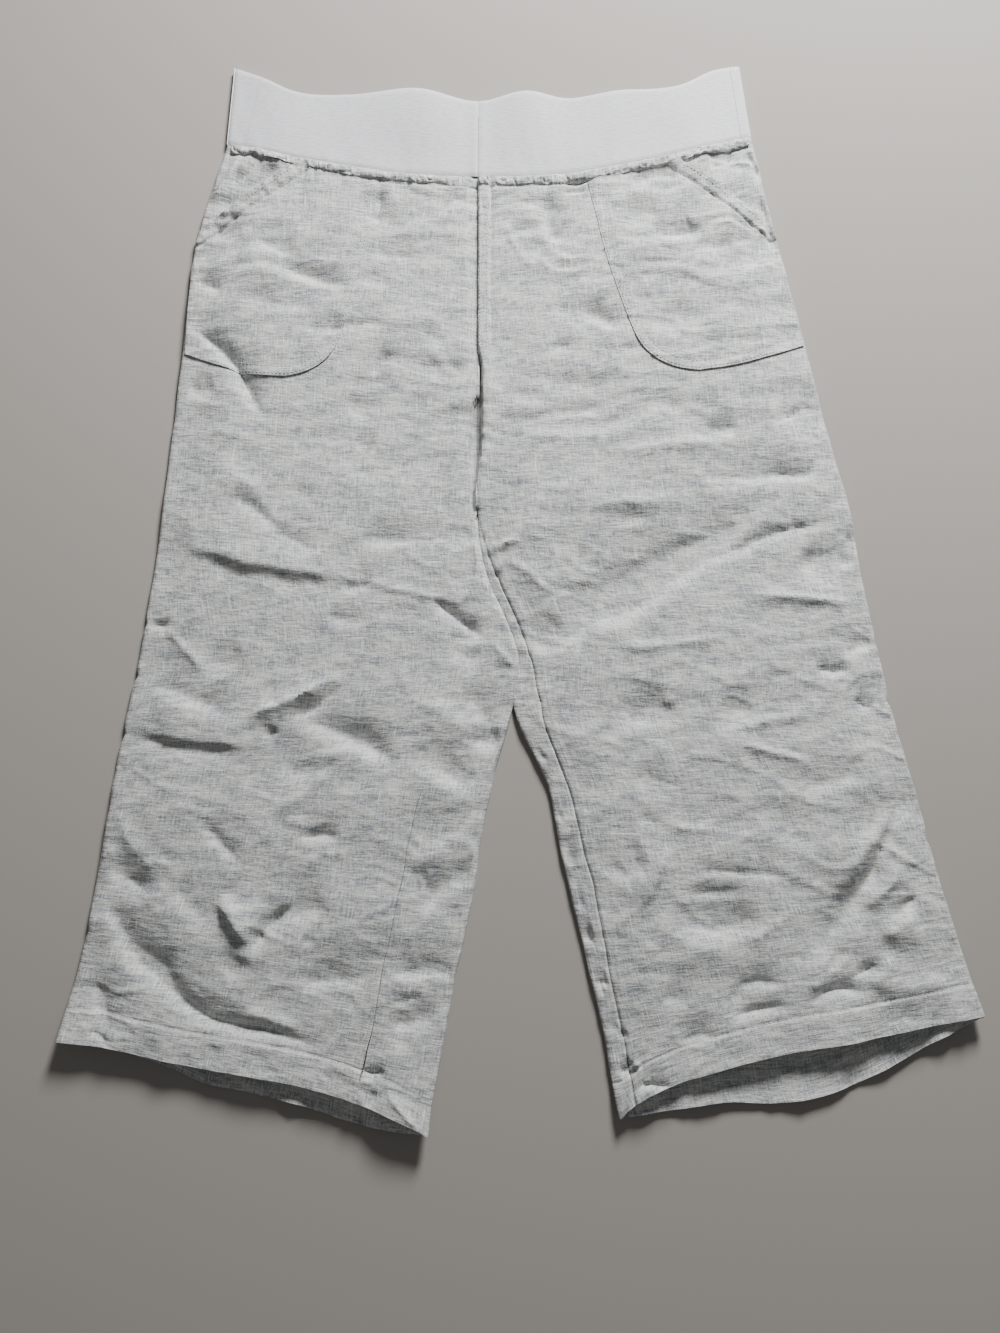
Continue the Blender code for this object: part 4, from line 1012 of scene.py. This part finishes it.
def makePocket(name, leg, pocket):
    across, down = 112, 96
    corner = cornerCurve(pocket)
    top = evenAlong(np.concatenate([openingLine(pocket), [pocket["frontEdge"][0]]]), across)
    onWaist = np.linspace(0, 1, across) > 0.62
    top[onWaist, 1] = np.minimum(top[onWaist, 1], waistY(top[onWaist, 0]) - 0.02)
    right = evenAlong(np.concatenate([[top[-1]], curveLine(pocket["frontEdge"])[1:-1], corner[:9]]), down)
    bottom = evenAlong(np.concatenate([curveLine(pocket["lowerEdge"])[:-1], corner[::-1][:9]]), across)
    sideY = np.linspace(top[0, 1], bottom[0, 1], down)
    left = np.column_stack([outerX(leg, sideY) - leg["side"] * 0.28, sideY])
    left += (1 - np.linspace(0, 1, down))[:, None] * (top[0] - left[0])
    left += np.linspace(0, 1, down)[:, None] * (bottom[0] - left[-1])
    u, v = np.meshgrid(np.linspace(0, 1, across), np.linspace(0, 1, down))
    u, v = u[..., None], v[..., None]
    upper = (1 - u) * (1 - v) * top[0] + u * (1 - v) * top[-1]
    corners = upper + (1 - u) * v * bottom[0] + u * v * bottom[-1]
    place = (1 - v) * top[None] + v * bottom[None] + (1 - u) * left[:, None] + u * right[:, None] - corners
    x, y = place[..., 0], place[..., 1]
    z = pocketHeight(leg, pocket, x, y)
    grain = np.stack([x * cm + 0.37, y * cm + 0.21], axis=-1)
    return makeCloth("linen_" + name, x, y, z + pocketWall, grain, pocketWall, linen, flip=leg["side"] > 0)


for name, leg in legs.items():
    pieces["pocket_" + name] = makePocket("pocket_" + name, leg, pockets[name])
print("Pockets made")


# The linen's puffed edge, where it is gathered and sewn to the elastic: places in cm, heights in mm
gatheredEdge = {
    "ends": (-24.4, 19.5),
    "pockets": (-11.6, 5.4),    # beyond these it lies on the pockets
    "depth": 0.8,
    "puff": 1.3,
    "lumps": 0.75,
    "nicks": 1.5,
    "wall": 0.6,
    "columns": 640,
}


def makeGatheredEdge():
    x = np.linspace(*gatheredEdge["ends"], gatheredEdge["columns"])[None, :]
    share = np.array([0.0, 0.05, 0.13, 0.24, 0.37, 0.5, 0.63, 0.76, 0.87, 0.95, 1.0])[:, None]
    depth = gatheredEdge["depth"] * (1 + 0.16 * softNoise(x / 1.4, x * 0, 38))
    below = 0.02 + share * depth
    y = waistY(x) - below
    x = x + 0 * y
    below = np.maximum(below, 0.14)
    onRight, onLeft = (frontHeight(leg, x, waistY(x) - below) for leg in legs.values())
    height = np.where(x < seamX, onRight, onLeft)
    onPocket = (x < gatheredEdge["pockets"][0]) | (x > gatheredEdge["pockets"][1])
    height = height + (pocketWall + pocketLift) * np.where(onPocket, 1, 0)
    rounded = np.sqrt(np.clip(1 - (2 * share - 1) ** 2, 0, 1))
    slanted = x + 0.25 * (share - 0.5) * softNoise(x / 1.7, x * 0, 39)
    lumps = softNoise(slanted / 0.26, share * 1.5, 35) + 0.5 * softNoise(slanted / 0.8, share * 0, 36)
    nicks = sharpLines(slanted / 0.75, share * 0.6, 7, 37)
    puff = gatheredEdge["puff"] * (1 + 0.35 * softNoise(x / 2.4, x * 0, 40))
    height = height - 0.5 + rounded * (puff + gatheredEdge["lumps"] * lumps - gatheredEdge["nicks"] * nicks)
    grain = np.stack([x * cm + 0.11, y * cm], axis=-1)
    wall = gatheredEdge["wall"]
    return makeCloth("linen_gathered_edge", x, y, height + wall, grain, wall, linen)


pieces["gathered_edge"] = makeGatheredEdge()

# Waistband: points along the upper edge: x, y of the front layer, its height, y of the back.
band = {
    "edge": [
        (-24.5, 43.4, 5, 43.4), (-22.0, 42.3, 8, 42.0), (-19.5, 41.0, 9, 41.0), (-14.5, 40.5, 10, 40.4),
        (-8.5, 40.8, 14, 40.2), (-3.5, 39.9, 10, 40.1), (0.7, 40.6, 14, 40.2), (4.0, 40.2, 10, 40.4),
        (8.5, 40.8, 12, 40.6), (14.0, 41.5, 10, 41.3), (16.5, 42.9, 8, 42.6), (19.0, 43.6, 5, 43.6),
    ],
    "rightSeam": (1.6, 2.4),   # side seams, in from the folds at the lower and the upper edge
    "leftSeam": (0.9, 0.9),
    "wall": 1.6,
    "seamGroove": 0.7,
    "seamRise": 0.5,
    "rows": 30,
    "columnWidth": 0.17,
    "lowerHeight": 10.4,
}


def bandFolds(up):
    edge = band["edge"]
    right = legs["right"]["levels"][0][0] * (1 - up) + edge[0][0] * up
    left = legs["left"]["levels"][0][0] * (1 - up) + edge[-1][0] * up
    return right, left


def bandPoint(x, up, front):
    right, left = bandFolds(up)
    toFold = np.minimum(x - right, left - x)
    edge = np.array(band["edge"])
    top = throughPoints(edge[:, 0], edge[:, 1 if front else 3], x)
    y = (waistY(x) + 0.03) * (1 - up) + top * up
    if not front:
        return y, lowerEdge(toFold)
    reach = body["crownReach"]
    crown = body["foldHeight"] + (band["lowerHeight"] - body["foldHeight"]) * ease(toFold / reach)
    height = crown * (1 - ease(up)) + throughPoints(edge[:, 0], edge[:, 2], x) * ease(up)
    height = height + ease(toFold / 1.5) * (0.5 * softNoise(x / 3.3, up * 1.3, 71)
                                            + (1 - up) * 0.35 * softNoise(x / 0.9, up * 3, 72))
    height = height - 0.8 * ease((up - 0.975) / 0.025) - 0.9 * ease((0.03 - up) / 0.03)
    return y, roundEdge(toFold, height)


def bandShares():
    return np.linspace(1, 0, band["rows"])[:, None]


def makeBandFront(name, start, end):
    up = bandShares()
    count = int((end(0.0) - start(0.0)) / band["columnWidth"])
    t = np.linspace(0, 1, count)[None, :]
    x = start(up) * (1 - t) + end(up) * t
    y, z = bandPoint(x, up + 0 * x, True)
    z = z - band["seamGroove"] * bell(x - seamX, 0.16) + band["seamRise"] * bell(x - seamX, 0.8)
    grain = np.stack([x * cm, y * cm], axis=-1)
    return makeCloth("elastic_" + name, x, y, z, grain, band["wall"], elastic)


def rightSeam(up):
    return bandFolds(up)[0] + band["rightSeam"][0] * (1 - up) + band["rightSeam"][1] * up


def leftSeam(up):
    return bandFolds(up)[1] - band["leftSeam"][0] * (1 - up) - band["leftSeam"][1] * up


def makeBandBack():
    up = bandShares()
    right, left = bandFolds(up)
    bend = np.array([0.5, 0.36, 0.24, 0.13, 0.05, 0.01, 0.0])[None, :]
    toRight, across, toLeft = (np.linspace(0, 1, count)[None, :] for count in (12, 190, 6))
    toRight, across, toLeft = toRight[:, :-1], across[:, 1:-1], toLeft[:, 1:]
    # from the right side seam round the fold, across the back and round the other fold
    parts = [
        (right + (rightSeam(up) - right) * (1 - toRight) + 0.5 * toRight, True),
        (right + bend + 0 * up, True),
        (right + bend[:, ::-1] + 0 * up, False),
        ((right + 0.5) * (1 - across) + (left - 0.5) * across, False),
        (left - bend + 0 * up, False),
        (left - bend[:, ::-1] + 0 * up, True),
        (left - (0.5 * (1 - toLeft) + (left - leftSeam(up)) * toLeft), True),
    ]
    places = [(x, *bandPoint(x, up + 0 * x, front)) for x, front in parts]
    x, y, z = (np.concatenate([place[n] for place in places], axis=1) for n in range(3))
    z[:, toRight.size + bend.size - 1] -= 0.05   # keeps the fold's two middle columns apart
    along = np.cumsum(np.abs(np.diff(x[:1], axis=1, prepend=x[:1, :1])), axis=1) + 0 * x
    grain = np.stack([along * cm, y * cm], axis=-1)
    return makeCloth("elastic_waistband_back", x, y, z, grain, band["wall"], elastic, flip=True)


def centre(up):
    return seamX + 0 * up


bandEnds = {
    "front_right": (lambda up: rightSeam(up) + 0.03, lambda up: centre(up) - 0.015),
    "front_left": (lambda up: centre(up) + 0.015, lambda up: leftSeam(up) - 0.03),
}
for name, (start, end) in bandEnds.items():
    pieces["waistband_" + name] = makeBandFront("waistband_" + name, start, end)
pieces["waistband_back"] = makeBandBack()
print("Waistband made")


# Topstitching: one stitch, copied along each row of stitches
stitch = {"length": 2.5, "pitch": 3.3, "width": 0.32, "height": 0.26}    # mm


def makeStitches(name, rows):
    bpy.ops.object.select_all(action="DESELECT")
    bpy.ops.mesh.primitive_uv_sphere_add(segments=6, ring_count=4, radius=1)
    model = bpy.context.object
    model.scale = (stitch["length"] / 2 * mm, stitch["width"] * mm, stitch["height"] * mm)
    bpy.ops.object.transform_apply(location=False, rotation=False, scale=True)
    shape = np.array([vertex.co for vertex in model.data.vertices])
    faces = [tuple(polygon.vertices) for polygon in model.data.polygons]
    bpy.data.objects.remove(model)
    points, allFaces = [], []
    for line in rows:
        steps = np.linalg.norm(np.diff(line, axis=0), axis=1)
        along = np.concatenate([[0], np.cumsum(steps)])
        middles = np.arange(stitch["pitch"] * mm, along[-1], stitch["pitch"] * mm)
        at = [np.column_stack([np.interp(middles + shift * mm, along, line[:, n]) for n in range(3)])
              for shift in (-stitch["length"] / 2, stitch["length"] / 2)]
        for first, last in zip(*at):
            forward = (last - first) / np.linalg.norm(last - first)
            sideways = np.cross((0, 0, 1), forward)
            sideways /= np.linalg.norm(sideways)
            upward = np.cross(forward, sideways)
            count = len(points) * len(shape)
            points.append((first + last) / 2 + shape @ np.array([forward, sideways, upward]))
            allFaces += [tuple(n + count for n in face) for face in faces]
    mesh = bpy.data.meshes.new(name)
    mesh.from_pydata(np.concatenate(points).tolist(), [], allFaces)
    mesh.shade_smooth()
    mesh.materials.append(thread)
    stitches = bpy.data.objects.new(name, mesh)
    bpy.context.scene.collection.objects.link(stitches)
    return stitches


def onCloth(line, height):
    # a line seen from above, laid on the cloth
    line = evenAlong(line, 260)
    x, y = line[:, 0], line[:, 1]
    return np.column_stack([x * cm, y * cm, (height(x, y) + 0.12) * mm])


def beside(line, distance):
    # a line moved to its left, in cm
    line = evenAlong(line, 200)
    direction = np.gradient(line, axis=0)
    direction /= np.hypot(direction[:, 0], direction[:, 1])[:, None]
    return line + distance * np.column_stack([-direction[:, 1], direction[:, 0]])


pocketRows, hemRows, seamRows = [], [], []
for name, leg in legs.items():
    pocket, side = pockets[name], leg["side"]

    def onPocket(x, y, leg=leg, pocket=pocket):
        return pocketHeight(leg, pocket, x, y) + pocketWall

    def onFront(x, y, leg=leg):
        return frontHeight(leg, x, y)

    def onBackInside(x, y, leg=leg):
        return backHeight(leg, x, y) + body["hemWall"]

    for distance in (0.2, 0.8):
        pocketRows.append(onCloth(beside(pocketEdge(pocket)[:-4], side * distance), onPocket))
    for distance in (0.3, 1.0):
        pocketRows.append(onCloth(beside(openingLine(pocket)[2:-2], side * distance), onPocket))
    hemX = np.linspace(leg["frontHem"][0][0] - side * 0.6, leg["frontHem"][-1][0] + side * 0.5, 80)
    hemLine = np.column_stack([hemX, hemY(leg, hemX) + body["hemDepth"]])
    hemRows.append(onCloth(hemLine, onFront))
    backX = hemX[12:-16]
    backLine = np.column_stack([backX, hemY(leg, backX, "backHem") + body["hemDepth"]])
    hemRows.append(onCloth(backLine, onBackInside))
    waistX = np.linspace(leg["levels"][0][0] - side * 1.5, seamX + side * 0.3, 80)
    seamRows.append(onCloth(np.column_stack([waistX, waistY(waistX) - gather["stitchLine"]]), onFront))
for place in (0.18, 0.78):
    # down the strip, on the left front, which the loop above ends with
    seamRows.append(onCloth([(seamX + place, 31.6), (seamX + place, 17.5)], onFront))
pieces["stitches_pockets"] = makeStitches("stitches_pockets", pocketRows)
pieces["stitches_hems"] = makeStitches("stitches_hems", hemRows)
pieces["stitches_seams"] = makeStitches("stitches_seams", seamRows)
print("Stitches made")


# Every piece rides on the one body and stands for its CAD solid. Flat cuts are in metres.
cuts = {
    "front_right": {"flat": (0.32, 0.82), "area": 0.205, "restsOn": ["linen_back_right"]},
    "front_left": {"flat": (0.34, 0.82), "area": 0.225, "restsOn": ["linen_back_left"]},
    "back_right": {"flat": (0.36, 0.82), "area": 0.26, "restsOn": []},
    "back_left": {"flat": (0.34, 0.82), "area": 0.25, "restsOn": []},
    "pocket_right": {"flat": (0.17, 0.20), "area": 0.0238, "restsOn": ["linen_front_right"]},
    "pocket_left": {"flat": (0.17, 0.20), "area": 0.0238, "restsOn": ["linen_front_left"]},
    "waistband_front_right": {"flat": (0.20, 0.075), "restsOn": ["elastic_waistband_back"]},
    "waistband_front_left": {"flat": (0.22, 0.075), "restsOn": ["elastic_waistband_back"]},
    "waistband_back": {"flat": (0.48, 0.075), "restsOn": []},
}
for name, piece in pieces.items():
    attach(piece, "root")
    if name in cuts:
        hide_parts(name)

# Floor, light and camera, in metres; both lights face the middle of the garment
stage = {
    "floorSize": 8.0,
    "keyPlace": (0.40, 1.32, 0.76),
    "keySize": 0.45,
    "keyPower": 56.0,
    "fillPlace": (0.3, -0.4, 2.2),
    "fillSize": 2.0,
    "fillPower": 1.6,
    "sky": 0.10,
    "cameraPlace": (-0.0165, -0.1965, 0.787),
    "cameraTilt": 8.0,
    "cameraLens": 27.05,
}

bpy.ops.object.select_all(action="DESELECT")
bpy.ops.mesh.primitive_plane_add(size=stage["floorSize"], location=(0, 0, -0.0002))
floor = bpy.context.object
floor.name = "floor"
floorPaint, floorShader = newMaterial("matteFloor", 0.95)
floorShader.inputs["Base Color"].default_value = linear("floor")
floor.data.materials.append(floorPaint)


def addLight(name, place, size, power):
    bpy.ops.object.light_add(type="AREA", location=place)
    lamp = bpy.context.object
    lamp.name = name
    lamp.rotation_euler = (-Vector(place)).to_track_quat("-Z", "Y").to_euler()
    lamp.data.shape = "DISK"
    lamp.data.size = size
    lamp.data.energy = power


for name in ("key", "fill"):
    addLight(name, stage[name + "Place"], stage[name + "Size"], stage[name + "Power"])
world = bpy.data.worlds.new("studio")
world.use_nodes = True
world.node_tree.nodes["Background"].inputs["Color"].default_value = (1.0, 1.0, 1.0, 1.0)
world.node_tree.nodes["Background"].inputs["Strength"].default_value = stage["sky"]
bpy.context.scene.world = world

bpy.ops.object.camera_add(location=stage["cameraPlace"], rotation=(radians(stage["cameraTilt"]), 0, 0))
camera = bpy.context.object
camera.data.lens = stage["cameraLens"]
camera.data.clip_start = 0.01
bpy.context.scene.camera = camera
print("Stage set")
